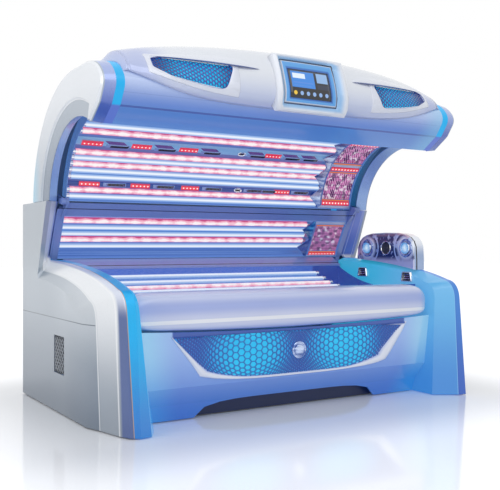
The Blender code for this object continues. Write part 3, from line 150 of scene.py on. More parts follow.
# Canopy about its arc centre
ARC_Y = -0.175
ARC_Z = 1.150
CANOPY_R = 0.730
CROWN_DEG = 95.0
BROW = (0.084, 113.4)
NOSE_TOP = (0.030, 122.6)
NOSE_TIP = (0.016, 127.1)
NOSE_FOOT = (-0.036, 127.6)
CREASE = (-0.121, 128.0)
TUBE_RIM_R = 0.490
LIP_IN = 0.011
LIP_DEG = 122.9
CROWN_STEPS = 42
BROW_STEPS = 15
NOSE_STEPS_C = 9
SEAM_SHARE = 0.4
REFLECTOR_DEG = (5.6, 116.0)
CAP_X = 1.126
STRIP_X = 1.080
LAMP_ROW_R = 0.525
LED_ROW_R = 0.507
FLUTE_R = 0.5555
FLUTE_BACK_R = 0.5562
UNIT_R = 0.4965
HINGE = (0.268, 1.190)
EAR_R = 0.020
EAR_X = (1.0866, 1.1126)
EAR_SEAT_Y = 0.404
EAR_SEAT_Z = (1.243, 1.199)
ROW_DEGREES = np.array((8.5, 12.9, 17.3, 21.7, 26.1, 30.5, 34.9, 39.3, 48.8, 57.0, 63.6))
LED_ROWS = (2, 8)
LED_BARS = ((8, "upper", (-0.960, -0.648, -0.330, 0.300), "#8fc0ea", 0.0310, -0.0080, 0.0185, 0.055, -0.0130),
            (2, "lower", (-0.926, -0.595, -0.246, 0.465), "#2c4c9c", 0.0136, 0.0, 0.0150, 0.110, 0.0))
LED_RING = ((0.0, 0.0205), (0.0040, 0.0205), (0.0062, 0.0180), (0.0040, 0.0140), (0.0022, 0.0130))
PINK_ROWS = (1, 5, 7, 9)
TANNER_DEG = (5.7, 75.5)
UNIT_DEG = (TANNER_DEG[0] + 0.4, TANNER_DEG[1] - 0.4)
END_COVER_X = (0.780, 0.7995)
END_COVER_SWING = 0.075
END_COVER_R = (0.499, 0.504)
END_COVER_FOLD = 0.006

# Top cover, grilles and display
COVER_HALF = 1.055
COVER_BASE = 1.155
COVER_FRONT = (0.205, 0.330)
COVER_LIFT = 0.1241
COVER_REAR = 0.900
COVER_POINTS = 48
GRILLE_SHARE = (8 / 18, 16 / 18)
GRILLE_POINTS = (1 / 16, 4 / 16)
DISPLAY_SHARE = 3 / 18
DISPLAY_POINTS = (1 / 16, 5 / 16)
DISPLAY_SAG = 0.014
COVER_RAISE = 0.02
WINDOW_INSET = 0.012
WINDOW_EDGE = 0.0175
WINDOW_RUN = 0.66
DISPLAY_RUN = 0.69

# Head pod outlets and head vents
OUTLET_X = 1.070
OUTLET_Y = (-0.286, 0.105)
OUTLET_Z = 0.914
OUTLET_R = 0.044
POD_FACE_X = 1.065
SPEAKER_Y = -0.090
CRYSTAL_SIDES = 24
OUTLET_BEZEL = ((0.0002, 0.0460), (0.0002, 0.0620), (0.0030, 0.0625), (0.0062, 0.0590), (0.0070, 0.0520),
                (0.0045, 0.0462))
SPEAKER_RINGS = ((0.0003, 0.0405), (0.0046, 0.0405), (0.0062, 0.0370), (0.0030, 0.0335), (0.0022, 0.0310),
                 (0.0036, 0.0270), (0.0018, 0.0230), (0.0030, 0.0180), (0.0014, 0.0130), (0.0040, 0.0090),
                 (0.0052, 0.0040))
SPEAKER_BEZEL = ((0.0002, 0.0420), (0.0002, 0.0490), (0.0036, 0.0485), (0.0056, 0.0455), (0.0040, 0.0424))
HEAD_AXES = ((0, 1, 0), (0, 0, 1), (-1, 0, 0))
HEAD_VENTS = ((-0.335, 0.724), (0.118, 0.744))

# The photographer's camera
CAMERA_PLACE = (-2.606, -4.252, 0.9266)
CAMERA_TURN = (90.0, 0.0, -31.676)
CAMERA_LENS = 57.08
CAMERA_SENSOR = 36.0
CAMERA_SHIFT = 0.0024


def linear(code):
    """Linear red, green and blue of a colour written as a web code."""
    raw = np.array([int(code[i:i + 2], 16) for i in (1, 3, 5)]) / 255.0
    return tuple(np.where(raw <= 0.04045, raw / 12.92, ((raw + 0.055) / 1.055) ** 2.4))


def tint(label, note, code):
    """Colour property with a web code as its default."""
    return FloatVectorProperty(name=label, description=note, default=linear(code), subtype="COLOR", min=0.0,
                               max=1.0)


def size(label, note, metres):
    """Length property in metres."""
    return FloatProperty(name=label, description=note, default=metres, min=0.0, unit="LENGTH", precision=4)


class BedSizes(PropertyGroup):
    """Sizes of the details that dress the frame."""
    tube_radius: size("Tube radius", "Radius of a lamp tube's glass", 0.0185)
    tube_cap: size("Tube cap", "Length of the metal cap at a tube's end", 0.026)
    cell_pitch: size("Cell pitch", "Spacing of the front grille's cells along a row", 0.0425)
    cell_web: FloatProperty(name="Cell opening", description="Share of a cell that is open", default=0.86,
                            min=0.2, max=0.95, subtype="FACTOR")
    plate: size("Lattice plate", "Thickness of the lattice plates", 0.0034)
    window_rim: size("Window rim", "Width of the bevelled rim of the front window", 0.016)
    brow_cell: size("Brow cell", "Spacing of the brow grilles' cells", 0.0320)
    led_module: size("Light module", "Length of a red light module", 0.130)
    led_dot: size("Light dot", "Radius of one bright dot", 0.0052)
    bezel: size("Display bezel", "Width of the lit bezel round the screen", 0.034)
    scallop: size("Scallop depth", "Depth of the reflector's flute behind each tube", 0.014)
    facets: IntProperty(name="Facets", description="Reflector facets along a tanner window", default=7, min=2,
                        max=20)


class BedColours(PropertyGroup):
    """Colours of the bed's finishes."""
    silver: tint("Silver", "Satin silver of the end panels", "#b2bbc4")
    # Painted shade: the end panels' silver as it looks in shade near the floor.
    silver_shade: tint("Low silver", "The same silver near the floor", "#737f8e")
    # Painted shade: the second bevel's bluish grey where it lies in shade.
    bevel_shade: tint("Slate", "Bluish second bevel of the end panels", "#55689a")
    pearl: tint("Pearl", "White silver of the top cover", "#e9ecf2")
    cyan: tint("Cyan", "Lit strips", "#00b2f0")
    cyan_low: tint("Low cyan", "Lit strips near the floor", "#2a80d2")
    tube_core: tint("Tube core", "Bright middle of a white tube", "#ecf3fd")
    tube_edge: tint("Tube edge", "Sides of a white tube", "#98b8e6")
    pink_core: tint("Pink core", "Bright middle of a pink tube", "#fff4f5")
    pink_edge: tint("Pink edge", "Spots along a pink tube", "#cf4a7c")
    navy: tint("Navy", "Toe kick and dark seams", "#1e2b52")


class BedStage(PropertyGroup):
    """Light and floor round the bed."""
    floor: tint("Floor", "Pale floor", "#f4f5f8")
    sky_level: FloatProperty(name="Sky light", description="Even light from all round", default=0.62, min=0.0)
    key_power: FloatProperty(name="Key light", description="Soft light above the front", default=60.0,
                             min=0.0, subtype="POWER")
    fill_power: FloatProperty(name="Fill light", description="Soft light from the left", default=34.0,
                              min=0.0, subtype="POWER")


def lerp(a, b, t):
    """Value between a and b at the share t."""
    return a + (b - a) * t


def hand(side):
    """Word for a side, which is -1 at the foot end and 1 at the head end."""
    return "left" if side < 0 else "right"


def mirrored(points, side):
    """Points of the head side, turned to the foot side by changing the sign of x."""
    return np.asarray(points) * np.array([side, 1.0, 1.0])


def facing(quads, way):
    """Quads as they are, or turned over where the way is negative."""
    return quads if way > 0 else quads[:, ::-1]


def twin(values):
    """Map with the same value in u and v."""
    return np.stack([values, values], -1)


def zone_map(zone, rings):
    """Map of rings: u is each ring's zone and v the height."""
    return np.stack([np.broadcast_to(zone[:, None], rings.shape[:2]), rings[..., 2]], -1)


def from_edge(count, most):
    """Number of each row counted from the nearer end, up to a limit."""
    return np.minimum(np.minimum(np.arange(count), np.arange(count)[::-1]), most)


def polar(radius, degrees):
    """Points (y, z) at a radius and angle about the canopy's arc centre, from the rear upwards."""
    angle = np.radians(np.asarray(degrees, float))
    return np.stack([ARC_Y + radius * np.cos(angle), ARC_Z + radius * np.sin(angle)], -1)


def bezier(start, control, end, steps):
    """Points of a quadratic curve: start, control and end weighted by (1-t)^2, 2t(1-t) and t^2."""
    t = np.linspace(0.0, 1.0, steps + 1)[:, None]
    return (1 - t) ** 2 * np.array(start) + 2 * t * (1 - t) * np.array(control) + t * t * np.array(end)


def offset(chain, distance):
    """Chain moved to the left of its own direction, with mitred corners."""
    chain = np.asarray(chain, float)
    run = np.diff(chain, axis=0)
    run /= np.maximum(np.linalg.norm(run, axis=1, keepdims=True), 1e-12)
    side = np.stack([-run[:, 1], run[:, 0]], -1)
    first = np.vstack([side[:1], side])
    second = np.vstack([side, side[-1:]])
    return chain + distance * (first + second) / (1 + np.sum(first * second, axis=1, keepdims=True))


def soften(rows, share, steps=3):
    """Rounds each inner corner of a chain of rows with a small curve over a share of the runs beside it."""
    rows = np.asarray(rows, float)
    out = [rows[:1]]
    for before, here, after in zip(rows, rows[1:], rows[2:]):
        out.append(bezier(lerp(here, before, share), here, lerp(here, after, share), steps))
    return np.vstack(out + [rows[-1:]])


def smooth(rows, steps):
    """Catmull-Rom curve through a chain of rows, steps points for each run."""
    rows = np.asarray(rows, float)
    padded = np.vstack([2 * rows[0] - rows[1], rows, 2 * rows[-1] - rows[-2]])
    t = np.linspace(0.0, 1.0, steps, endpoint=False)[None, :, None]
    a, b, c, d = (padded[i:len(rows) - 1 + i, None, :] for i in range(4))
    curve = 0.5 * (2 * b + (c - a) * t + (2 * a - 5 * b + 4 * c - d) * t ** 2
                   + (3 * b - a - 3 * c + d) * t ** 3)
    return np.vstack([curve.reshape(-1, rows.shape[1]), rows[-1:]])


def at_x(chain, x):
    """Points of a (y, z) chain set at x, which is a number or one number for each point."""
    chain = np.asarray(chain, float)
    return np.column_stack([np.broadcast_to(x, len(chain)), chain])


def loop_of(chain_a, chain_b, x):
    """Closed ring out along one chain and back along another at x."""
    return at_x(np.vstack([chain_a, np.asarray(chain_b)[::-1]]), x)


def grid_quads(rows, columns, wrap_rows=False, wrap_columns=False):
    """Corner numbers of the quads of a grid, wrapped round where asked."""
    i = np.arange(rows if wrap_rows else rows - 1)[:, None]
    j = np.arange(columns if wrap_columns else columns - 1)[None, :]
    up, on = (i + 1) % rows, (j + 1) % columns
    corners = [i * columns + j, i * columns + on, up * columns + on, up * columns + j]
    return np.stack(np.broadcast_arrays(*corners), -1).reshape(-1, 4)


def rung_quads(count, start):
    """Quads across a ring of an even point count, between its outward and its return run."""
    i = np.arange(count // 2 - 1)
    return np.stack([i, i + 1, count - 2 - i, count - 1 - i], -1) + start


def piece(name, points, quads, finish, slot, body, nodes=(), uv=None, sharp=32, thick=0.0, closed=True):
    """Mesh of a grid with doubled points merged, riding on a body for the nodes it stands for."""
    quads = np.asarray(quads)
    mesh = bpy.data.meshes.new(name)
    mesh.from_pydata(np.asarray(points, float).reshape(-1, 3).tolist(), [], quads.tolist())
    if uv is not None:
        corners = np.asarray(uv, float).reshape(-1, 2)[quads.ravel()]
        mesh.uv_layers.new(name="UVMap").data.foreach_set("uv", corners.ravel().astype(np.float32))
    work = bmesh.new()
    work.from_mesh(mesh)
    bmesh.ops.remove_doubles(work, verts=work.verts, dist=2e-6)
    bmesh.ops.dissolve_degenerate(work, edges=work.edges, dist=2e-6)
    if closed:
        bmesh.ops.recalc_face_normals(work, faces=work.faces)
    work.to_mesh(mesh)
    work.free()
    mesh.shade_smooth()
    mesh.set_sharp_from_angle(angle=math.radians(sharp))
    mesh.materials.append(finish)
    obj = bpy.data.objects.new(name, mesh)
    bpy.context.scene.collection.objects.link(obj)
    if thick:
        wall = obj.modifiers.new("wall", "SOLIDIFY")
        wall.thickness = thick
        wall.offset = -1.0
        wall.use_even_offset = False
    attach(obj, body)
    if nodes:
        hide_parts(*nodes)
    return obj


def loft(name, rings, finish, slot, body, nodes=(), uv=None, closed_run=False, **more):
    """Closed solid through rings of one even point count, its ends closed by rungs or run together."""
    rings = np.asarray(rings, float)
    count, around = rings.shape[:2]
    quads = [grid_quads(count, around, closed_run, True)]
    if not closed_run:
        quads += [rung_quads(around, 0), rung_quads(around, (count - 1) * around)]
    return piece(name, rings, np.vstack(quads), finish, slot, body, nodes, uv, **more)


def band(name, chain_a, chain_b, stations, finish, slot, body, nodes=(), **more):
    """Run along X, through the given stations, of the band between two chains."""
    rings = [loop_of(chain_a, chain_b, x) for x in stations]
    return loft(name, rings, finish, slot, body, nodes, **more)


def joined(parts):
    """Points, quads and UVs of several grids put together, each with its own corner numbers moved on."""
    points, quads, uv = zip(*parts)
    starts = np.cumsum([0] + [len(grid) for grid in points])
    return np.vstack(points), np.vstack([quad + start for quad, start in zip(quads, starts)]), np.vstack(uv)


def put(name, parts, finish, slot, body, nodes=(), **more):
    """One piece of several grids."""
    points, quads, uv = joined(parts)
    return piece(name, points, quads, finish, slot, body, nodes, uv, **more)


def revolve(profile, centre, axes, sides=40, ring=False):
    """Grid turned about an axis: profile rows are (along, radius), axes are the two across and the one along.

    Both ends are brought to a point on the axis, or a ring's profile closes on itself.
    """
    profile = np.asarray(profile, float)
    if not ring:
        profile = np.vstack([[profile[0][0], 0.0], profile, [profile[-1][0], 0.0]])
    turn = np.linspace(0.0, 2 * math.pi, sides, endpoint=False)
    axis_x, axis_up, axis_out = (np.array(v, float) for v in axes)
    spoke = np.cos(turn)[:, None] * axis_x + np.sin(turn)[:, None] * axis_up
    along, radius = profile.T[:, :, None, None]
    points = np.array(centre, float) + along * axis_out + radius * spoke[None]
    uv = np.stack(np.meshgrid(np.linspace(0, 1, len(profile)), turn / (2 * math.pi), indexing="ij"), -1)
    return points.reshape(-1, 3), grid_quads(len(profile), sides, ring, True), uv.reshape(-1, 2)


def bead(centre, axes, height, radius):
    """Small dome: along and radius follow the sine and cosine of a quarter turn."""
    turn = np.linspace(0.0, math.pi / 2, 4)[:-1]
    return revolve(np.stack([height * np.sin(turn), radius * np.cos(turn)], -1), centre, axes, 10)


def pillow(centre, side_a, side_b, lift, steps=6, power=6.0, base=0.0):
    """Raised pad with rounded edges: height is lift times (1-|u|^p)(1-|v|^p) above a flat back."""
    t = np.linspace(-1.0, 1.0, steps + 1)
    u, v = np.meshgrid(t, t, indexing="ij")
    side_a, side_b = np.array(side_a, float), np.array(side_b, float)
    normal = np.cross(side_a, side_b)
    normal /= np.linalg.norm(normal)
    height = base + lift * (1 - np.abs(u) ** power) * (1 - np.abs(v) ** power)
    flat = np.array(centre, float) + u[..., None] * side_a + v[..., None] * side_b
    top = flat + height[..., None] * normal
    low = flat - 0.001 * normal
    count = steps + 1
    quads = grid_quads(count, count)
    rim = np.concatenate([np.arange(count), np.arange(1, count) * count + steps,
                          steps * count + np.arange(steps - 1, -1, -1), np.arange(steps - 1, 0, -1) * count])
    nxt = np.roll(rim, -1)
    walls = np.stack([rim, nxt, nxt + count ** 2, rim + count ** 2], -1)
    uv = np.stack([u, v], -1).reshape(-1, 2) * 0.5 + 0.5
    points = np.vstack([top.reshape(-1, 3), low.reshape(-1, 3)])
    return points, np.vstack([quads, quads[:, ::-1] + count ** 2, walls]), np.vstack([uv, uv])


def end_outline(front, top, column, wall=0.0):
    """Front, rim and column edge of an end panel, drawn in by the given amounts."""
    front, top, column = front + wall, top + wall, column + 2.5 * wall
    foot = np.array([NOSE_Y + front, FLOOR_CLEAR + wall])
    knee = np.array([NOSE_Y + NOSE_LEAN + front, NOSE_TOP_Z - top])
    brow = np.array([RIM_FRONT[0] + front, RIM_FRONT[1] - top])
    rear = np.array([RIM_REAR[0], RIM_REAR[1] - top])
    nose = bezier(knee, (knee[0] + NOSE_FULL[0], brow[1] - NOSE_FULL[1]), brow, NOSE_STEPS)
    rim = bezier(brow, (RIM_BOW[0] + front / 2, RIM_BOW[1] - top), rear, RIM_STEPS)
    column_foot = (RIM_REAR[0] + column, RIM_REAR[1] + COLUMN_STEP_Z - top)
    column_top = (COLUMN_TOP[0] + column, COLUMN_TOP[1] - wall)
    shins = [lerp(foot, knee, share) for share in VENT_ROWS]
    return np.vstack([foot, *shins, nose, rim[1:], column_foot, column_top])


def inner_x(z):
    """X of the leaning inner face of the right lit panel."""
    return INNER_FLOOR_X + INNER_LEAN * z


def panel_rim_x(side):
    """X of an end panel's rim without its sign. The head end's rim stands further out."""
    return PANEL_RIM_X + (HEAD_EXTRA if side > 0 else 0.0)


def bench_z(y, drop=0.0):
    """Height of the bench arc, lowered square to the arc by a drop."""
    return BENCH_LOW_Z + BENCH_R - np.sqrt((BENCH_R + drop) ** 2 - (np.asarray(y) - BENCH_ARC_Y) ** 2)


def canopy_profile():
    """Outer outline of the canopy from the rear seam over crown, brow and nose to the lip."""
    start = math.degrees(math.asin((SEAM_Z - ARC_Z) / CANOPY_R))
    crown = polar(CANOPY_R, np.linspace(start, CROWN_DEG, CROWN_STEPS + 1))
    corners = NOSE_TOP, NOSE_TIP, NOSE_FOOT, CREASE
    top, tip, foot, crease = (polar(CANOPY_R + out, degrees) for out, degrees in corners)
    brow = bezier(crown[-1], polar(CANOPY_R + BROW[0], BROW[1]), top, BROW_STEPS)
    nose = bezier(top, tip, foot, NOSE_STEPS_C)
    lip = polar(TUBE_RIM_R - LIP_IN, LIP_DEG)
    fold = bezier(lerp(crease, foot, 0.12), crease, lerp(crease, lip, 0.12), 3)
    return np.vstack([crown, brow[1:], nose[1:], fold, lip])


def cover_base(x):
    """Points of the canopy's outline under the top cover at x, from its rear edge to its front edge."""
    front = lerp(COVER_FRONT[0], COVER_FRONT[1], (abs(x) / COVER_HALF) ** 4)
    outline = canopy_profile()[::-1]
    length = np.concatenate([[0.0], np.cumsum(np.linalg.norm(np.diff(outline, axis=0), axis=1))])
    places = np.linspace(COVER_REAR, front, COVER_POINTS + 1)
    return np.stack([np.interp(places, length, outline[:, i]) for i in (0, 1)], -1)


def cover_chain(x, lift=0.0):
    """Top cover's outline at x from its rear edge to its front edge.

    Points stand along the canopy's outline, moved out over a rounded edge, forwards by a sine swell to the
    power 0.8 and up by a sine swell to the power 2.5. Both swells fall away towards the ends as
    (1-(x/b)^2)^0.6.
    """
    height = max(0.0, 1 - (x / COVER_BASE) ** 2) ** 0.6
    base = cover_base(x)
    t = np.linspace(0.0, 1.0, COVER_POINTS + 1)
    swell = np.maximum(0.0, np.sin(math.pi * t))
    rounding = np.minimum(1.0, 4.0 * swell + 0.25 * t)[:, None]
    chain = lerp(offset(base, -0.0048), offset(base, -0.0188), rounding)
    chain[:, 0] -= height * 0.115 * swell ** 0.8
    chain[:, 1] += height * COVER_LIFT * swell ** 2.5
    return offset(chain, -lift) if lift else chain


def cover_point(x, t, lift=0.0):
    """Points of the top cover at stations x and shares t from the front edge, one row for each x."""
    rows = []
    for station, shares in zip(x, t):
        chain = cover_chain(station, lift)[::-1]
        at = np.asarray(shares) * COVER_POINTS
        rows.append(np.stack([np.full(len(at), station)]
                             + [np.interp(at, np.arange(COVER_POINTS + 1), chain[:, i]) for i in (0, 1)], -1))
    return np.array(rows)


def raised(place, lift):
    """Points of the top cover raised by a lift for each, between what place gives for two even lifts."""
    base, top = place(0.0), place(COVER_RAISE)
    return lerp(base, top, np.broadcast_to(lift, base.shape[:-1])[..., None] / COVER_RAISE)


def raised_grid(x, t, lift):
    """Grid of the top cover at stations x and shares t, raised by a lift for each point."""
    return raised(lambda even: cover_point(x, [t] * len(x), even), lift)


class Wire:
    """Value on a node tree. Arithmetic with a wire lays the nodes that work it out."""

    def __init__(self, tree, socket):
        self.tree, self.socket = tree, socket

    def calc(self, operation, *others):
        return math_wire(self.tree, operation, self, *others)

    __add__ = partialmethod(calc, "ADD")
    __sub__ = partialmethod(calc, "SUBTRACT")
    __mul__ = partialmethod(calc, "MULTIPLY")
    __lt__ = partialmethod(calc, "LESS_THAN")
    __gt__ = partialmethod(calc, "GREATER_THAN")
    __abs__ = partialmethod(calc, "ABSOLUTE")

    def __rsub__(self, other):
        return math_wire(self.tree, "SUBTRACT", other, self)

    def step(self, low, high):
        """0 below low, 1 above high and a soft step between."""
        return node(self.tree, "MapRange", (self, low, high, 0.0, 1.0), interpolation_type="SMOOTHSTEP")

    def mix(self, first, second):
        """Colour between two colours, with this wire as the share of the second."""
        return node(self.tree, "Mix", (self, first, second), data_type="RGBA")

    def fade(self, low, high, low_colour, high_colour):
        """Colour that changes softly between two values of this wire."""
        values = {"Value": self, "Low": low, "High": high, "Low colour": low_colour,
                  "High colour": high_colour}
        return use(self.tree, fade_group(), values)["Colour"]

    def line(self, centre, width):
        """Mask of a thin line where this wire has a given value."""
        return use(self.tree, line_group(), {"Value": self, "Place": centre, "Width": width})["Mask"]


class Spot:
    """Point of a surface: x, y and z in the bed's frame, and u and v of the piece's own map."""
    PLACES = {"x": ("Object", 0), "y": ("Object", 1), "z": ("Object", 2), "u": ("UV", 0), "v": ("UV", 1)}

    def __init__(self, tree):
        self.tree = tree
        self.outputs = tree.nodes.new("ShaderNodeTexCoord").outputs

    def __getattr__(self, letter):
        kind, index = Spot.PLACES[letter]
        made = self.tree.nodes.new("ShaderNodeSeparateXYZ")
        self.tree.links.new(self.outputs[kind], made.inputs[0])
        return Wire(self.tree, made.outputs[index])

    def noise(self, scale, detail, stretch=None):
        """Cloudy value at the point, with the frame stretched first where asked."""
        where = Wire(self.tree, self.outputs["Object"])
        if stretch:
            where = node(self.tree, "Mapping", (where, None, None, stretch))
        made = self.tree.nodes.new("ShaderNodeTexNoise")
        for label, value in (("Vector", where), ("Scale", scale), ("Detail", detail)):
            feed(self.tree, made.inputs[label], value)
        return Wire(self.tree, made.outputs["Fac"])


def feed(tree, socket, value):
    """Links a socket to a wire, or sets its number or colour. Colours may be web codes."""
    if isinstance(value, Wire):
        tree.links.new(value.socket, socket)
        return
    value = linear(value) if isinstance(value, str) else value
    socket.default_value = (*value[:3], 1.0) if socket.type == "RGBA" else value


def node(tree, kind, values=(), **settings):
    """Wire from a new shader node with its settings and inputs in order. None leaves an input alone."""
    made = tree.nodes.new("ShaderNode" + kind)
    for key, value in settings.items():
        setattr(made, key, value)
    for socket, value in zip([s for s in made.inputs if s.enabled], values):
        if value is not None:
            feed(tree, socket, value)
    return Wire(tree, [s for s in made.outputs if s.enabled][0])


def math_wire(tree, operation, *values):
    """Wire from a math node."""
    return node(tree, "Math", values, operation=operation)


def scaled(tree, colour, share):
    """Colour with all three parts times a share."""
    made = tree.nodes.new("ShaderNodeVectorMath")
    made.operation = "SCALE"
    feed(tree, made.inputs[0], colour)
    feed(tree, made.inputs["Scale"], share)
    return Wire(tree, made.outputs[0])


def group(name, inputs, outputs, fill):
    """Shader node group built once. Sockets whose label says colour carry one, the others numbers."""
    tree = bpy.data.node_groups.get(name)
    if tree:
        return tree
    tree = bpy.data.node_groups.new(name, "ShaderNodeTree")
    for labels, way in ((inputs, "INPUT"), (outputs, "OUTPUT")):
        for label in labels:
            kind = "NodeSocketColor" if "colour" in label.lower() else "NodeSocketFloat"
            tree.interface.new_socket(label, in_out=way, socket_type=kind)
    source = tree.nodes.new("NodeGroupInput").outputs
    target = tree.nodes.new("NodeGroupOutput").inputs
    for label, wire in zip(outputs, fill(tree, *(Wire(tree, source[label]) for label in inputs))):
        feed(tree, target[label], wire)
    return tree


def use(tree, shared, values):
    """Places a group in a tree with its own values and gives the wires of its outputs."""
    made = tree.nodes.new("ShaderNodeGroup")
    made.node_tree = shared
    for label, value in values.items():
        feed(tree, made.inputs[label], value)
    return {socket.name: Wire(tree, socket) for socket in made.outputs}


def satin_group():
    """Fine cast of a moulded or painted skin: cloudy colour, uneven gloss and a faint grain."""
    def fill(tree, colour, depth, gloss, grain):
        at = Spot(tree)
        fine = at.noise(grain, 4.0)
        shade = (at.noise(3.2, 2.0) - 0.5) * depth + 1.0
        return scaled(tree, colour, shade), gloss + (fine - 0.5) * 0.16, fine
    return group("satin", ("Colour", "Depth", "Gloss", "Grain"), ("Colour", "Roughness", "Height"), fill)


def fade_group():
    """Colour that changes softly between two values, such as two heights."""
    def fill(tree, value, low, high, low_colour, high_colour):
        return (value.step(low, high).mix(low_colour, high_colour),)
    return group("fade", ("Value", "Low", "High", "Low colour", "High colour"), ("Colour",), fill)


def line_group():
    """Mask of a thin line: 1 within half a width of a place along a value, with soft sides."""
    def fill(tree, value, centre, width):
        half = width * 0.5
        return (1.0 - abs(value - centre).step(half, half * 1.5),)
    return group("line", ("Value", "Place", "Width"), ("Mask",), fill)


def colours():
    """The scene's colours of the bed."""
    return bpy.context.scene.bed_colours


def sizes():
    """The scene's sizes of the details."""
    return bpy.context.scene.bed_sizes


def finish(name, colour, gloss=0.35, metal=0.0, depth=0.10, grain=260.0, bump=0.02, coat=0.0, glow=0.0):
    """Finish with a satin cast. colour is a web code, or a function from a spot to a wire or a colour.

    A finish that glows reflects only what its glow leaves, so that it keeps its colour in any light.
    """
    made = bpy.data.materials.get(name)
    if made:
        return made
    made = bpy.data.materials.new(name)
    made.use_nodes = True
    tree = made.node_tree
    sockets = tree.nodes["Principled BSDF"].inputs
    raw = colour(Spot(tree)) if callable(colour) else linear(colour)
    body = scaled(tree, raw, max(0.10, 1.0 - glow)) if glow else raw
    cast = use(tree, satin_group(), {"Colour": body, "Depth": depth, "Gloss": gloss, "Grain": grain})
    given = {"Base Color": cast["Colour"], "Roughness": cast["Roughness"], "Metallic": metal,
             "Coat Weight": coat, "Coat Roughness": 0.08}
    if bump:
        dent = tree.nodes.new("ShaderNodeBump")
        for label, value in (("Strength", bump), ("Distance", 0.001), ("Height", cast["Height"])):
            feed(tree, dent.inputs[label], value)
        given["Normal"] = Wire(tree, dent.outputs[0])
    if glow:
        given.update({"Emission Color": raw, "Emission Strength": glow})
    for label, value in given.items():
        feed(tree, sockets[label], value)
    made.diffuse_color = (0.6, 0.65, 0.75, 1.0) if isinstance(raw, Wire) else (*raw[:3], 1.0)
    return made


def look(**settings):
    """Turns the colour function below it into a finish of the function's name."""
    def wrap(colour):
        def made():
            return finish(colour.__name__, colour, **settings)
        made.__doc__ = colour.__doc__
        return made
    return wrap


PLAIN = {
    "chrome": dict(colour="#c3ccda", gloss=0.10, metal=1.0, depth=0.06, grain=900.0, bump=0.01),
    "amber_light": dict(colour="#e8762e", gloss=0.25, depth=0.1, grain=300.0, glow=0.7),
    "black_gloss": dict(colour="#12131c", gloss=0.16, depth=0.25, grain=600.0, coat=0.5),
    "dark_plastic": dict(colour="#23283a", gloss=0.5, depth=0.2, grain=900.0, bump=0.08),
    "steel": dict(colour="#9aa0a8", gloss=0.42, metal=0.85, depth=0.16, grain=700.0, bump=0.05),
    "bench_clear": dict(colour="#cfdcff", gloss=0.10, depth=0.04, grain=500.0, bump=0.0, coat=0.4),
    "vent_grey": dict(colour="#8f96a0", gloss=0.3, metal=0.3, depth=0.14, grain=420.0, coat=0.2),
    "plain_silver": dict(colour="#aab3bd", gloss=0.36, metal=0.35, depth=0.1, grain=420.0, coat=0.2),
    "unit_frame": dict(colour="#c9d2ee", gloss=0.25, depth=0.1, grain=500.0, coat=0.4),
    "module_edge": dict(colour="#8fa4d8", gloss=0.2, metal=0.2, depth=0.08, grain=500.0, coat=0.4, glow=0.15),
    "slot_violet": dict(colour="#6c4a92", gloss=0.15, depth=0.2, grain=400.0, coat=0.5, glow=0.3),
    "white_bank": dict(colour="#eef2ff", gloss=0.2, depth=0.05, grain=300.0, glow=0.5),
}


def plain(name):
    """Finish of one colour from the table."""
    return finish(name, **PLAIN[name])


@look(gloss=0.30, metal=0.30, depth=0.08, grain=420.0, coat=0.35)
def panel_silver(at):
    """Satin silver: dark near the floor, bright chamfer, slate second bevel and lavender up the column."""
    c = colours()
    x, z, u = at.x, at.z, at.u
    # Painted highlight: the upper front of the face is paler than the rear.
    front = at.y.fade(-0.45, 0.30, "#e3e7eb", c.silver)
    # Painted shade: the silver darkens towards the floor.
    base = (z.step(0.30, 0.75) * 0.7).mix(z.fade(0.02, 0.80, c.silver_shade, c.silver), front)
    # Painted highlight: the first chamfer is near white at its top and grey lower down.
    base = u.step(0.030, 0.036).mix(base, z.fade(0.12, 0.72, "#98a1ac", "#f4f6f8"))
    # Painted shade and light: the second bevel is bluish grey low down and pale lavender white above.
    base = u.step(0.0720, 0.0800).mix(base, z.fade(0.57, 0.70, c.bevel_shade, "#dfe4f2"))
    left = x < 0.0
    column = z.step(0.852, 0.875) * (u - left * 0.050).step(0.010, 0.024)
    base = column.mix(base, z.fade(0.86, 1.19, "#6f8ad6", "#9db2ea"))
    lit = u - (0.60 - z) * 0.022
    foot = left * (z < 0.852)
    base = (foot * lit.step(0.1015, 0.1030)).mix(base, z.fade(0.02, 0.55, c.cyan_low, c.cyan))
    base = (foot * lit.line(0.1010, 0.0024)).mix(base, "#b79c80")
    # Painted highlights: thin white lines along the two creases.
    edge = u.line(0.032, 0.0016).calc("MAXIMUM", u.line(0.0705, 0.0022))
    base = (edge * 0.55).mix(base, "#ffffff")
    return (z.line(GROOVE_Z, 0.0040) * (u < 0.030)).mix(base, "#6b747f")


@look(gloss=0.28, metal=0.25, depth=0.08, grain=420.0, coat=0.4)
def cap_silver(at):
    """Silver of the canopy's caps: bright raised face, shaded scoop and a lavender inner band."""
    y, z, u = at.y, at.z, at.u
    # Painted glow: a pale cyan glow on the lower rear of the face, and the face painted lighter towards its
    # top.
    glow = y.step(0.36, 0.54) * (1.0 - z.step(1.30, 1.65))
    base = (glow * 0.75).mix(z.fade(1.15, 1.85, "#b4bdc8", "#f0f3f7"), "#9fdcf6")
    base = (u < 0.66).mix(base, z.fade(1.20, 1.80, "#8d99aa", "#b4bec9"))
    # Painted shade: the inner band is deep blue low on the nose and lavender above.
    inner = y.step(-0.55, -0.20).mix(z.fade(1.58, 1.79, "#3c5cba", "#a9b8e6"), "#a4c6f2")
    base = (u < 0.31).mix(base, inner)
    # Painted highlight: a white line along the scoop's edge.
    return (u.line(0.675, 0.02) * 0.8).mix(base, "#ffffff")


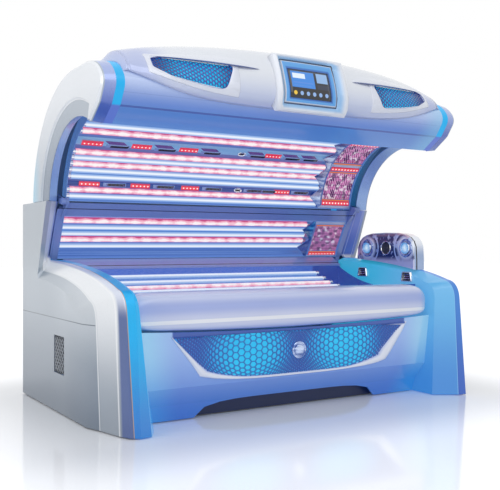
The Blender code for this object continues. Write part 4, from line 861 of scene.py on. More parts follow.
@look(gloss=0.20, metal=0.10, depth=0.05, grain=900.0, coat=0.6)
def pearl(at):
    """White silver of the top cover, lavender at its foot and towards both ends."""
    base = at.z.fade(1.68, 1.88, "#c6cfec", colours().pearl)
    return (abs(at.x).step(0.78, 1.00) * 0.75).mix(base, "#a7b4e4")


@look(gloss=0.20, depth=0.05, grain=700.0, coat=0.6)
def rail_paint(at):
    """Lavender white with a bright band along its lower third and a bluish foot, cyan at the head end."""
    z = at.z
    # Painted shade: a bluish, darker foot.
    base = z.step(0.545, 0.60).mix(z.fade(0.465, 0.515, "#86a4ea", "#d6dbf4"), "#abb9ea")
    # Painted highlight: a paler top.
    base = z.step(0.615, 0.675).mix(base, "#dfe3f7")
    # Painted highlight: a white band along the lower third.
    base = (z.line(0.532, 0.016) * 0.8).mix(base, "#ffffff")
    # Painted reflection: a cyan tint towards the head end.
    return at.x.step(0.93, 1.02).mix(base, "#a9d8f6")


# The glow is painted light: the hood is no lamp.
@look(gloss=0.20, depth=0.06, grain=700.0, coat=0.6, glow=0.30)
def hood_paint(at):
    """Lavender hood: white sheen over the nose, dark line at its fold, deeper on the flat band below."""
    z = at.z
    upper = z.fade(1.635, 1.755, "#5a86d8", "#b9caf2")
    # Painted shade: the flat band below the fold is deeper blue.
    base = z.step(1.630, 1.640).mix(z.fade(1.53, 1.63, "#6496de", "#568ad6"), upper)
    # Painted shade: dark lines along the fold and the nose's foot.
    fold = z.line(1.629, 0.007).calc("MAXIMUM", z.line(1.691, 0.003) * 0.25)
    base = (fold * 0.8).mix(base, "#3b51a4")
    # Painted reflection: a cyan tint towards the head end.
    return (at.x.step(0.88, 1.08) * 0.45).mix(base, "#86d2f4")


def rail_shade(at):
    """Mask of the shade under the rail: the strip above the front window, as wide as the window."""
    high = at.z.step(WINDOW_TOP_Z - 0.008, WINDOW_TOP_Z - 0.002)
    return high * (1.0 - abs(at.x).step(WINDOW_TOP_HALF - 0.008, WINDOW_TOP_HALF + 0.004))


# The glow is painted light: the front panel is no lamp.
@look(gloss=0.20, depth=0.05, grain=700.0, coat=0.6, glow=0.25)
def front_paint(at):
    """Front panel: pale lavender above, deep blue near the floor, light-blue glow at both side edges."""
    z = at.z
    glow = z.fade(0.05, 0.40, "#3f9ce8", "#a6dcf8")
    base = (abs(at.x) - z * INNER_LEAN).step(0.70, 0.93).mix(z.fade(0.02, 0.46, "#3a78d6", "#a0bff4"), glow)
    return rail_shade(at).mix(base, "#2653ae")


@look(gloss=0.28, depth=0.06, grain=700.0, coat=0.4)
def lavender_paint(at):
    """Lavender of the wall behind the lamps, with two dark seams."""
    z = at.z
    seam = z.line(1.150, 0.004).calc("MAXIMUM", z.line(0.806, 0.004))
    return seam.mix(z.fade(0.80, 1.19, "#8fa0d8", "#7a92d0"), colours().navy)


def lit_panel(side):
    """Lit inner panel. The rim strip is cyan at the foot end, and deep blue at the head end."""
    def colour(at):
        c, z, u = colours(), at.z, at.u
        if side < 0:
            strip, seam = z.fade(0.0, 0.50, c.cyan_low, c.cyan), "#9fdcf8"
            face = z.fade(0.10, 0.70, "#4aa4e6", "#35bdf2")
        else:
            strip, seam = z.fade(0.0, 0.70, "#2a5fc0", "#3f86d8"), "#8ecbf2"
            face = at.y.step(-0.45, 0.10).mix(z.fade(0.05, 0.66, "#4590dc", "#6fbdee"), "#3fc0e6")
        return (u.line(1.0, 0.03) * 0.7).mix(u.step(0.985, 1.0).mix(strip, face), seam)
    name = "lit_foot_panel" if side < 0 else "lit_head_panel"
    return finish(name, colour, gloss=0.22, depth=0.05, grain=300.0, coat=0.35, glow=0.50)


@look(gloss=0.35, depth=0.06, grain=300.0, coat=0.1, glow=0.7)
def lit_cyan(at):
    """Lit strip round the canopy, cyan down to the nose's fold and deep blue below it."""
    low = (1.0 - at.z.step(1.625, 1.635)) * (at.y < -0.3)
    return low.mix(at.z.fade(1.2, 1.85, "#12a4ea", colours().cyan), "#5874cc")


@look(gloss=0.3, depth=0.05, grain=300.0, glow=0.75)
def cell_light(at):
    """Light behind the grilles: bright cyan at each grille's eyes and deep blue away from them."""
    bright = at.noise(9.0, 2.0).mix("#0aaee8", "#20d0fa")
    front = abs(abs(at.x) - GRILLE_EYE[0]).fade(0.08, 0.36, bright, "#1c86d8")
    brow = abs(abs(at.x) - BROW_EYE).fade(0.10, 0.24, bright, "#1a4fb4")
    return (at.z > 1.0).mix(front, brow)


@look(gloss=0.28, depth=0.10, grain=500.0, coat=0.4)
def lattice_blue(at):
    """Deep blue plate of the front lattice, paler round the two eyes."""
    return abs(abs(at.x) - GRILLE_EYE[0]).fade(0.05, 0.34, "#1f7ccc", "#2152b0")


def tube_light(name, core, flank, edge, spots):
    """Glass tube: bright along the side that faces the bench, tinted flanks, wavy spots on pink tubes."""
    def light(at):
        side = abs(at.v - 0.5)
        if spots:
            wave = (at.u * (2 * math.pi / 0.11)).calc("SINE")
            side = side + (wave * 0.030 + (at.noise(34.0, 2.0) - 0.5) * 0.16)
        return side.step(0.125, 0.20).mix(side.step(0.020, 0.105).mix(core, flank), edge)
    return finish(name, light, gloss=0.12, depth=0.03, grain=200.0, bump=0.0, coat=0.3, glow=0.92)


def white_tube():
    """White glass with bluish flanks."""
    return tube_light("white_tube", colours().tube_core, colours().tube_edge, "#5682ca", False)


def pink_tube():
    """Pink glass with spots along it."""
    return tube_light("pink_tube", colours().pink_core, "#f6b0c6", colours().pink_edge, True)


@look(gloss=0.22, metal=0.55, depth=0.08, grain=500.0, glow=0.35)
def reflector(at):
    """Bluish mirror sheet with faint rolling streaks along the bed."""
    return at.noise(3.0, 3.0, (0.6, 14.0, 14.0)).mix("#5d86cf", "#84a8e2")


# The glow is painted light: the tray is no lamp.
@look(gloss=0.22, metal=0.4, depth=0.06, grain=500.0, glow=0.5)
def tray_mirror(at):
    """Bluish mirror of the bench tray, bright under each tube and deep blue between them."""
    pitch = (BENCH_LAMP_Y[1] - BENCH_LAMP_Y[0]) / (BENCH_LAMPS - 1)
    between = (at.y - BENCH_LAMP_Y[0]).calc("DIVIDE", pitch).calc("PINGPONG", 0.5)
    # Painted shade: deep blue past the tubes' head end.
    return (at.x > BENCH_LAMP_X[1] - 0.02).mix(between.fade(0.12, 0.36, "#e6f0ff", "#4a70cc"), "#2c4aa6")


@look(gloss=0.2, depth=0.06, grain=400.0, coat=0.5, glow=0.8)
def red_light(at):
    """Red module, brighter along its middle."""
    return abs(at.v - 0.5).step(0.05, 0.45).mix("#ff4a5a", "#d81e46")


@look(gloss=0.1, depth=0.02, grain=400.0, coat=0.5, glow=1.0)
def dot_light(at):
    """Bright dot, white at its top."""
    return at.u.step(0.2, 0.9).mix("#ff9aa4", "#ffffff")


@look(gloss=0.18, metal=0.35, depth=0.12, grain=500.0, glow=0.45)
def violet_facet(at):
    """Violet and rose mirror facets: dark grid lines between them, pale diagonals and sparkle."""
    u, v = at.u, at.v
    # Painted reflections: each facet is dark violet or rose.
    cell = (u.calc("FLOOR") * 2.3 + v.calc("FLOOR") * 4.1).calc("SINE")
    # Painted highlights: pale streaks along the diagonals.
    slant = ((u + v) * 2.0).calc("FRACT").line(0.5, 0.22)
    base = (slant * 0.65).mix(cell.step(-1.0, 1.0).mix("#6a1668", "#d66cb4"), "#fbdcf4")
    grid = u.calc("FRACT").line(0.5, 0.10).calc("MAXIMUM", v.calc("FRACT").line(0.5, 0.12))
    base = (grid * 0.6).mix(base, "#4a1f5c")
    # Painted glints: white sparkle.
    return (at.noise(34.0, 1.0).step(0.56, 0.66) * 0.8).mix(base, "#fff0fa")


@look(gloss=0.42, depth=0.2, grain=900.0, bump=0.06)
def navy_plastic(at):
    """Navy of the toe kick."""
    return tuple(colours().navy)


@look(gloss=0.08, depth=0.08, grain=300.0, coat=0.6, glow=0.55)
def ice_crystal(at):
    """Ice-blue crystal, brightest in its middle."""
    return at.u.mix("#4fa6ea", "#e6f8ff")


def bench_clear():
    """Clear acrylic: mostly see-through from above, more mirror-like at a glancing look."""
    made = plain("bench_clear")
    tree = made.node_tree
    weight = tree.nodes.new("ShaderNodeLayerWeight")
    weight.inputs["Blend"].default_value = 0.35
    share = node(tree, "MapRange", (Wire(tree, weight.outputs["Facing"]), 0.0, 1.0, 0.01, 0.07))
    feed(tree, tree.nodes["Principled BSDF"].inputs["Alpha"], share)
    return made


def panel_ring(depth, insets, squeeze, wall=0.0, lift=0.0):
    """Ring of an end panel below its outer face. The nose and rim are squeezed towards that face."""
    x = HALF_LENGTH - depth * squeeze - lift
    column_x = HALF_LENGTH - depth - lift
    column_x = max(column_x, COLUMN_RIM_X + COLUMN_TAPER * (column_x - PANEL_RIM_X))
    edge = end_outline(*insets, wall)
    x_edge = np.where(np.arange(len(edge)) < RIM_POINTS + 1, x, column_x)
    rear = np.column_stack([np.full(len(edge), REAR_Y - wall), edge[:, 1]])
    return np.vstack([at_x(edge, x_edge), at_x(rear, column_x)[::-1]])


def face_grid(ring, vented):
    """Flat face inside a ring, in rows from its front edge to its rear, open where it is vented."""
    half = len(ring) // 2
    front, rear = ring[:half], ring[::-1][:half]
    window_y = (VENT[0] - VENT[2] / 2, VENT[0] + VENT[2] / 2)
    inner = [np.column_stack([front[:, 0], np.maximum(front[:, 1], y), front[:, 2]]) for y in window_y]
    rows = np.stack([front, *inner, rear], 1)
    quads = grid_quads(half, 4)
    if vented:
        quads = np.delete(quads, VENT_QUAD, axis=0)
    return rows.reshape(-1, 3), quads, rows[[1, 1, 2, 2], [1, 2, 2, 1]]


def end_panel(side):
    """End panel as a shell: levels of its outline from the flat face over two chamfers to the rim and back.

    Each level draws in the front, rim and column of the outline by its own amounts. Chamfer corners are
    rounded.
    """
    name = f"{hand(side)}_end_panel"
    squeeze = (HALF_LENGTH - panel_rim_x(side)) / PANEL_DEPTH
    levels = soften(PANEL_LEVELS, 0.10)
    outer = [panel_ring(row[0], row[1:], squeeze) for row in levels]
    inner = [panel_ring(row[0], row[1:], squeeze, SKIN, SKIN) for row in PANEL_LEVELS[:-1]]
    inner.append(panel_ring(PANEL_LEVELS[-1][0], PANEL_LEVELS[-1][1:], squeeze, SKIN))
    rings = np.array(outer + inner[::-1])
    depth = np.concatenate([levels[:, 0], [row[0] for row in PANEL_LEVELS[::-1]]])
    uv = zone_map(depth, rings)
    parts = [(rings.reshape(-1, 3), grid_quads(*rings.shape[:2], False, True), uv.reshape(-1, 2))]
    corners = []
    for ring in (rings[0], rings[-1]):
        points, quads, window = face_grid(ring, side < 0)
        parts.append((points, quads, np.column_stack([np.zeros(len(points)), points[:, 2]])))
        corners.append(window)
    if side < 0:
        parts.append((np.vstack(corners), grid_quads(2, 4, False, True), np.zeros((8, 2))))
    points, quads, uv = joined(parts)
    piece(f"{name}_shell", mirrored(points, side), quads, panel_silver(), "silver", "base", (name,), uv,
          sharp=26)


def lattice(centres, corners, opening):
    """Flat cells as frames: each cell's corners, and the same corners drawn in by its opening."""
    count, sides = corners.shape[:2]
    share = np.broadcast_to(opening, count)[:, None, None]
    inner = centres[:, None] + share * (corners - centres[:, None])
    points = np.concatenate([corners, inner], 1).reshape(-1, 2)
    quads = grid_quads(2, sides, False, True)[None] + (np.arange(count) * 2 * sides)[:, None, None]
    return points, quads.reshape(-1, 4)


def honeycomb(width, height, pitch, row):
    """Centres and corners of six-sided cells with flat tops that fill a rectangle about its middle."""
    columns = np.arange(-int(width / pitch) - 2, int(width / pitch) + 3)
    rows = np.arange(-int(height / row / 2) - 2, int(height / row / 2) + 3)
    i, j = (grid.ravel() for grid in np.meshgrid(columns, rows, indexing="ij"))
    centres = np.stack([i * pitch / 2, (2 * j + i % 2) * row], -1)
    turn = np.arange(6) * math.pi / 3
    corner = np.stack([np.cos(turn) * pitch / 3, np.sin(turn) / math.sin(math.pi / 3) * row], -1)
    return centres, centres[:, None] + corner[None]


def side_vent():
    """Dark vent of the left end panel: diamond cells over its window, on a plate set back from the face."""
    y, z, width, height = VENT
    half_wide, half_high = VENT_CELL
    i, j = (grid.ravel() for grid in np.meshgrid(np.arange(-12, 13), np.arange(-14, 15), indexing="ij"))
    centres = np.stack([(i - j) * half_wide, (i + j) * half_high], -1)
    shape = np.array([[half_wide, 0.0], [0.0, half_high], [-half_wide, 0.0], [0.0, -half_high]])
    corners = centres[:, None] + shape[None]
    limit = np.array([width / 2 - 2 * GAP, height / 2 - 5 * GAP])
    kept = np.all(np.abs(centres) < limit, axis=1)
    points, quads = lattice(centres[kept], corners[kept], 0.83)
    points = np.clip(points, -limit, limit)
    points = np.column_stack([np.full(len(points), -HALF_LENGTH + 0.0006), y - points[:, 0],
                              z + points[:, 1]])
    piece("vent_lattice", points, quads, plain("vent_grey"), "dark", "base", ("vent_grille",), thick=0.003,
          closed=False)
    edge = np.array([[-1, -1], [1, -1], [1, 1], [-1, 1]]) * limit
    plate = np.column_stack([np.full(4, -HALF_LENGTH + 0.0052), y - edge[:, 0], z + edge[:, 1]])
    rings = np.stack([plate, plate + np.array([0.0015, 0.0, 0.0])])
    loft("vent_back", rings, plain("black_gloss"), "dark", "base")


def light_panel(side):
    """Lit inner cover of an end panel: a shell of stages from its leaning face to its rim strip."""
    name = f"{hand(side)}_light_panel"
    rim_x = panel_rim_x(side) - GAP
    rear_x = min(rim_x, COLUMN_RIM_X - SKIN)
    share = STRIP_SHARE[side]

    def loop(stage, wall):
        share_in, front, top = stage
        edge = end_outline(front, top, 0.0, wall)[:RIM_POINTS + 1]
        lean = inner_x(edge[:, 1]) + wall
        rear = np.column_stack([np.full(len(edge), LIGHT_REAR_Y - wall), edge[:, 1]])
        return np.vstack([at_x(edge, lerp(rim_x, lean, share_in)),
                          at_x(rear, lerp(rear_x, lean, share_in))[::-1]])

    stages = np.array([(0.0, 0.0, 0.0), (share * 0.94, *STRIP_INSET), (share, *STRIP_INSET),
                       (1.0, *FACE_INSET)])
    stages[1, 1:] *= 0.94
    outer = [loop(stage, 0.0) for stage in stages]
    inner = [loop(stage, SKIN) for stage in stages[::-1]]
    rings = np.array(outer[::-1] + inner[::-1])
    uv = zone_map(np.array([2.0, 1.0, 0.94, 0.0, 0.0, 0.94, 1.0, 2.0]), rings)
    loft(f"{name}_lit", mirrored(rings, side), lit_panel(side), "light_blue", "base", (name,), uv)


def window_edge(u, inset):
    """Closed outline (x, z) of the front window for u from 0 to 4: top, right, bottom and left side in turn.

    The inset may differ along u. Along the sides it counts double, because they lean.
    """
    inset = np.broadcast_to(inset, u.shape)
    top_half, low_half = WINDOW_TOP_HALF - 2 * inset, WINDOW_LOW_HALF - 2 * inset
    top_z = WINDOW_TOP_Z - inset
    t = u % 1.0
    s = 2 * t - 1
    low_z = WINDOW_LOW_Z + inset
    end_z = low_z + WINDOW_LOW_RISE
    x = np.select([u < 1, u < 2, u < 3], [top_half * s, lerp(top_half, low_half, t), -low_half * s],
                  lerp(-low_half, -top_half, t))
    z = np.select([u < 1, u < 2, u < 3], [top_z, lerp(top_z, end_z, t), low_z + WINDOW_LOW_RISE * s ** 4],
                  lerp(end_z, top_z, t))
    return np.stack([x, z], -1)


def rim_width(u):
    """Width of the window's rim along u: slim under the rail, full below and left, broad at the right."""
    turn = np.array([0.0, 0.12, 0.88, 1.0, 1.2, 1.8, 2.06, 2.2, 2.8, 3.0, 3.3, 3.8, 4.0])
    share = np.array([0.4, 0.2, 0.2, 0.9, 1.7, 1.7, 1.3, 0.6, 0.6, 1.1, 0.8, 0.7, 0.4])
    return sizes().window_rim * np.interp(u, turn, share)


def window_rim():
    """Bevelled rim round the front window: a rounded ridge that slopes into the window."""
    u = np.concatenate([np.linspace(i, i + 1, 60, endpoint=False) for i in range(4)])
    width = rim_width(u)
    stages = ((-0.55, -0.0006), (-0.50, -0.0035), (-0.25, -0.0078), (0.02, -0.0086), (0.30, -0.0062),
              (0.75, 0.0002), (1.0, 0.0036), (1.0, 0.0042), (0.05, 0.0042), (0.02, -0.0004))
    rings = []
    for share, sink in stages:
        edge = window_edge(u, width * share + (0.0004 if share > 0 else 0.0))
        rings.append(np.column_stack([edge[:, 0], np.full(len(u), FACE_Y + sink), edge[:, 1]]))
    loft("window_rim", rings, rim_paint(), "lavender", "base", closed_run=True)


@look(gloss=0.18, depth=0.06, grain=600.0, coat=0.6)
def rim_paint(at):
    """Lavender white rim, bluish where it slopes into the window."""
    base = at.y.fade(FACE_Y - 0.006, FACE_Y + 0.003, "#eef1fd", "#86a6ea")
    # Painted highlight: whiter towards the right.
    base = (at.x.step(0.50, 0.80) * 0.6).mix(base, "#f2f6ff")
    return rail_shade(at).mix(base, "#2653ae")


def front_lattice():
    """Lattice of the front window: honeycomb spread round two eyes, each swelling its cells by a bell curve.

    Cells open wide at the eyes and close to small holes towards the window's border.
    """
    pitch = sizes().cell_pitch * 0.87
    centres, corners = honeycomb(1.7, 0.34, pitch, 0.0092)
    middle = np.array([0.0, GRILLE_EYE[1] - 0.01])

    def eye_bells(flat):
        aways = [flat - np.array([side * GRILLE_EYE[0], GRILLE_EYE[1]]) for side in (-1.0, 1.0)]
        return [(away, np.exp(-(away[..., :1] / 0.20) ** 2 - (away[..., 1:] / 0.105) ** 2)) for away in aways]

    def warp(flat):
        flat = flat + middle
        return flat + sum(1.10 * away * bell for away, bell in eye_bells(flat))

    near = sum(bell for away, bell in eye_bells(centres + middle))[:, 0]
    centres, corners = warp(centres), warp(corners)
    limit = sizes().window_rim * 0.3

    def inside(flat, slack):
        x, z = flat[..., 0], flat[..., 1]
        t = (WINDOW_TOP_Z - z) / (WINDOW_TOP_Z - WINDOW_LOW_Z - WINDOW_LOW_RISE)
        half = lerp(WINDOW_TOP_HALF, WINDOW_LOW_HALF, np.clip(t, 0.0, 1.0)) - 2 * limit
        bow = np.clip(x / (WINDOW_LOW_HALF - 2 * limit), -1, 1) ** 4
        low, high = WINDOW_LOW_Z + limit + WINDOW_LOW_RISE * bow, WINDOW_TOP_Z - 0.0008
        fits = (np.abs(x) < half - slack) & (z > low + slack) & (z < high - slack)
        return fits, np.stack([np.clip(x, -half, half), np.clip(z, low, high)], -1)

    kept = inside(centres, 0.001)[0]
    opening = 0.40 + (sizes().cell_web - 0.40) * np.clip(near[kept], 0.0, 1.0)
    points, quads = lattice(centres[kept], corners[kept], opening)
    points = inside(points, 0.0)[1]
    points = np.column_stack([points[:, 0], np.full(len(points), FACE_Y + 0.0004), points[:, 1]])
    piece("front_lattice", points, quads, lattice_blue(), "cyan", "base", thick=sizes().plate, closed=False)


def front_badge():
    """Plain domed badge: two rings and a shallow dome turned about the line of sight."""
    turn = np.linspace(0.0, math.pi / 2, 9)
    dome = np.stack([0.0125 + 0.0065 * np.sin(turn), 0.0305 * np.cos(turn)], -1)
    profile = np.vstack([[0.0003, BADGE_R], [0.0080, BADGE_R], [0.0100, BADGE_R - 0.003],
                         [0.0100, BADGE_R - 0.008],
                         [0.0075, BADGE_R - 0.010], [0.0075, 0.034], [0.0120, 0.032], dome[:-1]])
    disc = revolve(profile, (0.0, FACE_Y + 0.004, BADGE_Z), ((1, 0, 0), (0, 0, 1), (0, -1, 0)), 56)
    put("badge_disc", [disc], shard_chrome(), "chrome", "base", ("front_badge",))


def rail_ring(level, wall=0.0, lift=0.0, stations=72):
    """Ring of the front rail at a depth before its back edge, bowed forwards, with round ends."""
    depth, top, low, ends = level
    half = RAIL_HALF - ends - wall
    u = np.sin(math.pi * np.linspace(-0.5, 0.5, stations + 1))
    x = half * u
    y = RAIL_BACK_Y - (depth - lift) - RAIL_BOW * depth / RAIL_LEVELS[-1][0] * (1 - u * u)
    high_z = np.full(len(u), RAIL_TOP_Z - top - wall)
    low_z = RAIL_LOW_Z + RAIL_LOW_RISE * (x / RAIL_HALF) ** 2 + low + wall
    middle = (high_z + low_z) / 2
    share = np.maximum(0.35, np.maximum(0.0, 1 - np.abs(u) ** 24) ** 0.25)
    upper = np.stack([x, y, lerp(middle, high_z, share)], -1)
    return np.vstack([upper, np.stack([x, y, lerp(middle, low_z, share)], -1)[::-1]])


def front_rail():
    """Bullnose rail: a smooth curve through its levels, outlines with a straight top and a bowed foot."""
    levels = smooth(RAIL_LEVELS, 6)
    outer = [rail_ring(level) for level in levels]
    inner = [rail_ring(level, SKIN, SKIN) for level in levels[::-2]]
    inner[-1] = rail_ring(levels[0], SKIN)
    loft("front_rail_shell", inner + outer, rail_paint(), "lavender", "base", ("front_rail",))


def bench_sheet():
    """Clear bench: the arc from its front to its rear edge, and the same arc lowered by its thickness."""
    y = np.linspace(*BENCH_Y, 61)
    top, low = np.stack([y, bench_z(y)], -1), np.stack([y, bench_z(y, ACRYLIC)], -1)
    stations = np.linspace(-BENCH_HALF, BENCH_HALF, 9)
    band("bench_sheet", top, low, stations, bench_clear(), "acrylic", "base", ("bench_acrylic",))


def tubes(name, places, inward, x_ends, glass, slot, body, nodes):
    """Lamp tubes along X at (y, z) places. The map's v is 0.5 on the inward side, and u runs along X.

    Each tube's radius is constant along the glass, steps up at the metal caps and closes at both ends.
    """
    s = sizes()
    low, high = x_ends
    run = np.pad(np.linspace(low + s.tube_cap, high - s.tube_cap, 13), 1, "edge")
    radius = np.full(len(run), s.tube_radius)
    radius[[0, -1]] = 0.0
    rim = s.tube_radius + 0.0004
    profile = ((0.0002, 0.0125), (0.0025, rim), (s.tube_cap - 0.003, rim), (s.tube_cap + 0.001, rim - 0.003))
    turn = np.linspace(0.0, 2 * math.pi, TUBE_SIDES + 1)[:-1]
    parts, caps = [], []
    for (y, z), bright in zip(places, inward):
        angle = turn + bright + math.pi
        spoke = np.stack([np.zeros(TUBE_SIDES), np.cos(angle), np.sin(angle)], -1)
        centre = np.stack([run, np.full(len(run), y), np.full(len(run), z)], -1)
        points = centre[:, None] + radius[:, None, None] * spoke[None]
        uv = np.stack(np.broadcast_arrays(run[:, None], (turn / (2 * math.pi))[None]), -1)
        parts.append((points.reshape(-1, 3), grid_quads(len(run), TUBE_SIDES, False, True),
                      uv.reshape(-1, 2)))
        for x, way in ((low, 1.0), (high, -1.0)):
            caps.append(revolve(profile, (x, y, z), ((0, 1, 0), (0, 0, 1), (way, 0, 0)), TUBE_SIDES))
    put(name, parts, glass, slot, body, nodes)
    put(f"{name}_caps", caps, plain("chrome"), "chrome", body)


def tube_pair(place, spots, turns, pink, x_ends, body, white_nodes, pink_nodes):
    """White and pink tubes of one place, each kind as one piece."""
    for label, kept, glass, slot, nodes in (("white", ~pink, white_tube(), "lamp", white_nodes),
                                            ("pink", pink, pink_tube(), "pink_lamp", pink_nodes)):
        tubes(f"{label}_{place}_tubes", spots[kept], turns[kept], x_ends, glass, slot, body, nodes)


def lamp_nodes(stem, kept):
    """Names of the frame's lamps that are kept, numbered from 1."""
    return [f"{stem}_{i + 1}" for i in np.flatnonzero(kept)]


def canopy_tubes():
    """Tubes of the canopy's rows but for the light bars' rows.

    Each tube's bright side turns with 0.4 of its row's angle.
    """
    rows = np.delete(np.arange(len(ROW_DEGREES)), LED_ROWS)
    pink, degrees = np.isin(rows, PINK_ROWS), ROW_DEGREES[rows]
    tube_pair("canopy", polar(LAMP_ROW_R, degrees), np.radians(0.4 * degrees + 180.0), pink, LAMP_X, "canopy",
              lamp_nodes("canopy_lamp", ~pink), lamp_nodes("canopy_lamp", pink))


def back_tubes():
    """Tubes of the rear wall on a straight line, with their bright side square to it."""
    low, top = np.array(BACK_LAMP_LOW), np.array(BACK_LAMP_TOP)
    lean = math.atan2(-(top - low)[0], (top - low)[1])
    rows = np.arange(BACK_LAMPS)
    pink = np.isin(rows, BACK_PINK_ROWS)
    spots = lerp(low, top, rows[:, None] / (BACK_LAMPS - 1))
    tube_pair("back", spots, np.full(BACK_LAMPS, math.pi + lean), pink, LAMP_X, "base",
              lamp_nodes("back_lamp", ~pink), lamp_nodes("back_lamp", pink))


def bench_tubes():
    """Tubes under the bench on its arc, white but for every third, and the bars that they end in."""
    y = np.linspace(*BENCH_LAMP_Y, BENCH_LAMPS)
    spots = np.stack([y, bench_z(y, LAMP_DROP)], -1)
    pink = np.arange(BENCH_LAMPS) % 3 == 1
    tube_pair("bench", spots, np.full(BENCH_LAMPS, BENCH_LAMP_TURN), pink, BENCH_LAMP_X, "base",
              ("bench_lamp_bank",), ())
    arc = np.linspace(TRAY_Y[0] + 0.0036, TRAY_Y[1] - 0.0006, 31)
    upper, lower = (np.stack([arc, bench_z(arc, drop)], -1) for drop in HOLDER_DROP)
    for name, x in (("left_bench_holder", BENCH_LAMP_X[0]),
                    ("right_bench_holder", BENCH_LAMP_X[1] - HOLDER_WIDE)):
        band(name, upper, lower, np.linspace(x, x + HOLDER_WIDE, 3), reflector(), "lamp", "base")


def cap_inner(radius, widen, turn, outline):
    """Inner edge of a cap, a point for each point of its outline, widening with the square of its share."""
    start = math.degrees(math.asin((SEAM_Z - ARC_Z) / radius))
    t = np.linspace(0.0, 1.0, len(outline))
    tip = math.degrees(math.atan2(outline[-1][1] - ARC_Z, outline[-1][0] - ARC_Y)) - turn
    reach = np.hypot(outline[:, 0] - ARC_Y, outline[:, 1] - ARC_Z)
    radii = np.minimum(radius + widen * t * t, reach - 0.012)
    angle = np.radians(lerp(start, tip, t))
    points = np.stack([ARC_Y + radii * np.cos(angle), ARC_Z + radii * np.sin(angle)], -1)
    points[0, 1] = outline[0][1]
    return points


def cap_ring(x, inset, radius, widen, turn, wall=0.0):
    """Ring of a cap between its outer outline, drawn in by an inset, and its inner edge."""
    outer = offset(canopy_profile(), inset)
    outer[0, 1] = SEAM_Z
    inner = cap_inner(radius, widen, turn, outer)
    if wall:
        outer, inner = offset(outer, wall), offset(inner, -wall)
        outer[0, 1] = inner[0, 1] = SEAM_Z + wall
        back = inner[-2] - inner[-1]
        inner[-1] += back / np.linalg.norm(back) * 2 * wall
    return loop_of(outer, inner, x)


def canopy_cap(side):
    """End cap: inner band, recessed scoop and raised outer face, as levels between two outlines."""
    name = f"canopy_{hand(side)}_cap"
    floor = HALF_LENGTH - 0.010
    stages = np.array(((CAP_X + GAP, 0.0, TUBE_RIM_R - 0.004, -LIP_IN, 2.4),
                       (floor - 0.003, 0.008, 0.440, 0.034, 2.4),
                       (floor, 0.010, 0.552, 0.0, 4.2), (HALF_LENGTH, 0.022, 0.560, 0.0, 1.4)))
    fine = soften(stages, 0.06, 2)
    zone = soften(np.array([[0.0], [1.0], [2.0], [3.0]]) / 3, 0.06, 2)[:, 0]
    outer = [cap_ring(*stage) for stage in fine]
    inner = [cap_ring(row[0] - (SKIN if i else 0.0), *row[1:], SKIN) for i, row in enumerate(stages)]
    rings = np.array(inner[::-1] + outer)
    uv = zone_map(np.concatenate([np.linspace(1.0, 0.0, 4), zone]), rings)
    loft(f"{name}_shell", mirrored(rings, side), cap_silver(), "silver", "canopy", (name,), uv, sharp=24)


def canopy_ear(side):
    """Ear of a cap on the hinge pin: a plate with a rounded end, turned in (y, z) about the hinge."""
    turn = np.linspace(math.radians(60), math.radians(300), 25)
    round_end = np.stack([HINGE[0] + EAR_R * np.cos(turn), HINGE[1] + EAR_R * np.sin(turn)], -1)
    seat = np.stack([np.full(25, EAR_SEAT_Y), np.linspace(*EAR_SEAT_Z, 25)], -1)
    band(f"{hand(side)}_ear", round_end, seat, np.array(EAR_X) * side, lavender_paint(), "steel", "canopy")


def cap_light(side):
    """Lit strip round the canopy beside a cap: the canopy's outline and the same outline 12 mm further in."""
    name = f"{hand(side)}_cap_light"
    outline = canopy_profile()
    stations = np.sort(side * np.array([STRIP_X + GAP, STRIP_X + 0.006, CAP_X - 0.006, CAP_X]))
    band(f"{name}_strip", outline, offset(outline, 0.012), stations, lit_cyan(), "cyan", "canopy", (name,))


def canopy_skin():
    """Rear shell and front hood: the canopy's outline cut at the brow's seam, each with a 4 mm wall."""
    outline = canopy_profile()
    lining = offset(outline, SKIN)
    seam = CROWN_STEPS + 1 + int(BROW_STEPS * SEAM_SHARE)
    stations = np.linspace(-STRIP_X, STRIP_X, 13)
    band("canopy_shell_skin", outline[:seam], lining[:seam], stations, plain("plain_silver"), "silver",
         "canopy", ("canopy_shell",))
    seat = REFLECTOR_DEG[1] + math.degrees((SHEET + GAP) / TUBE_RIM_R)
    outer = np.vstack([lerp(outline[seam - 1], outline[seam], 0.02), outline[seam:], polar(TUBE_RIM_R, seat)])
    lip = TUBE_RIM_R + 0.012
    inner = np.vstack([lerp(lining[seam - 1], lining[seam], 0.02), lining[seam:-1], polar(lip, seat + 2.2),
                       polar(lip, seat)])
    band("canopy_hood_skin", outer, inner, stations, hood_paint(), "lavender", "canopy", ("canopy_hood",),
         sharp=24)


def canopy_flutes():
    """Fluted reflector behind the canopy's tubes: radius falls between rows by the cube of a sine."""
    degrees = np.linspace(REFLECTOR_DEG[0] + 0.6, 76.0, 221)
    phase = np.interp(degrees, ROW_DEGREES, np.arange(len(ROW_DEGREES)))
    radius = FLUTE_R - 0.5 * sizes().scallop * np.abs(np.sin(math.pi * phase)) ** 3
    chain, back = polar(radius, degrees), polar(FLUTE_BACK_R, degrees)
    band("canopy_flutes", chain, back, FLUTE_X, reflector(), "mirror", "canopy")


def tub_line(back, low_rise, top_rise):
    """Ends (y, z) of a line behind the front of the rear wall's lamp tub, with its ends moved up."""
    return np.array(TUB_LOW) + (back, low_rise), np.array(TUB_TOP) + (back, top_rise)


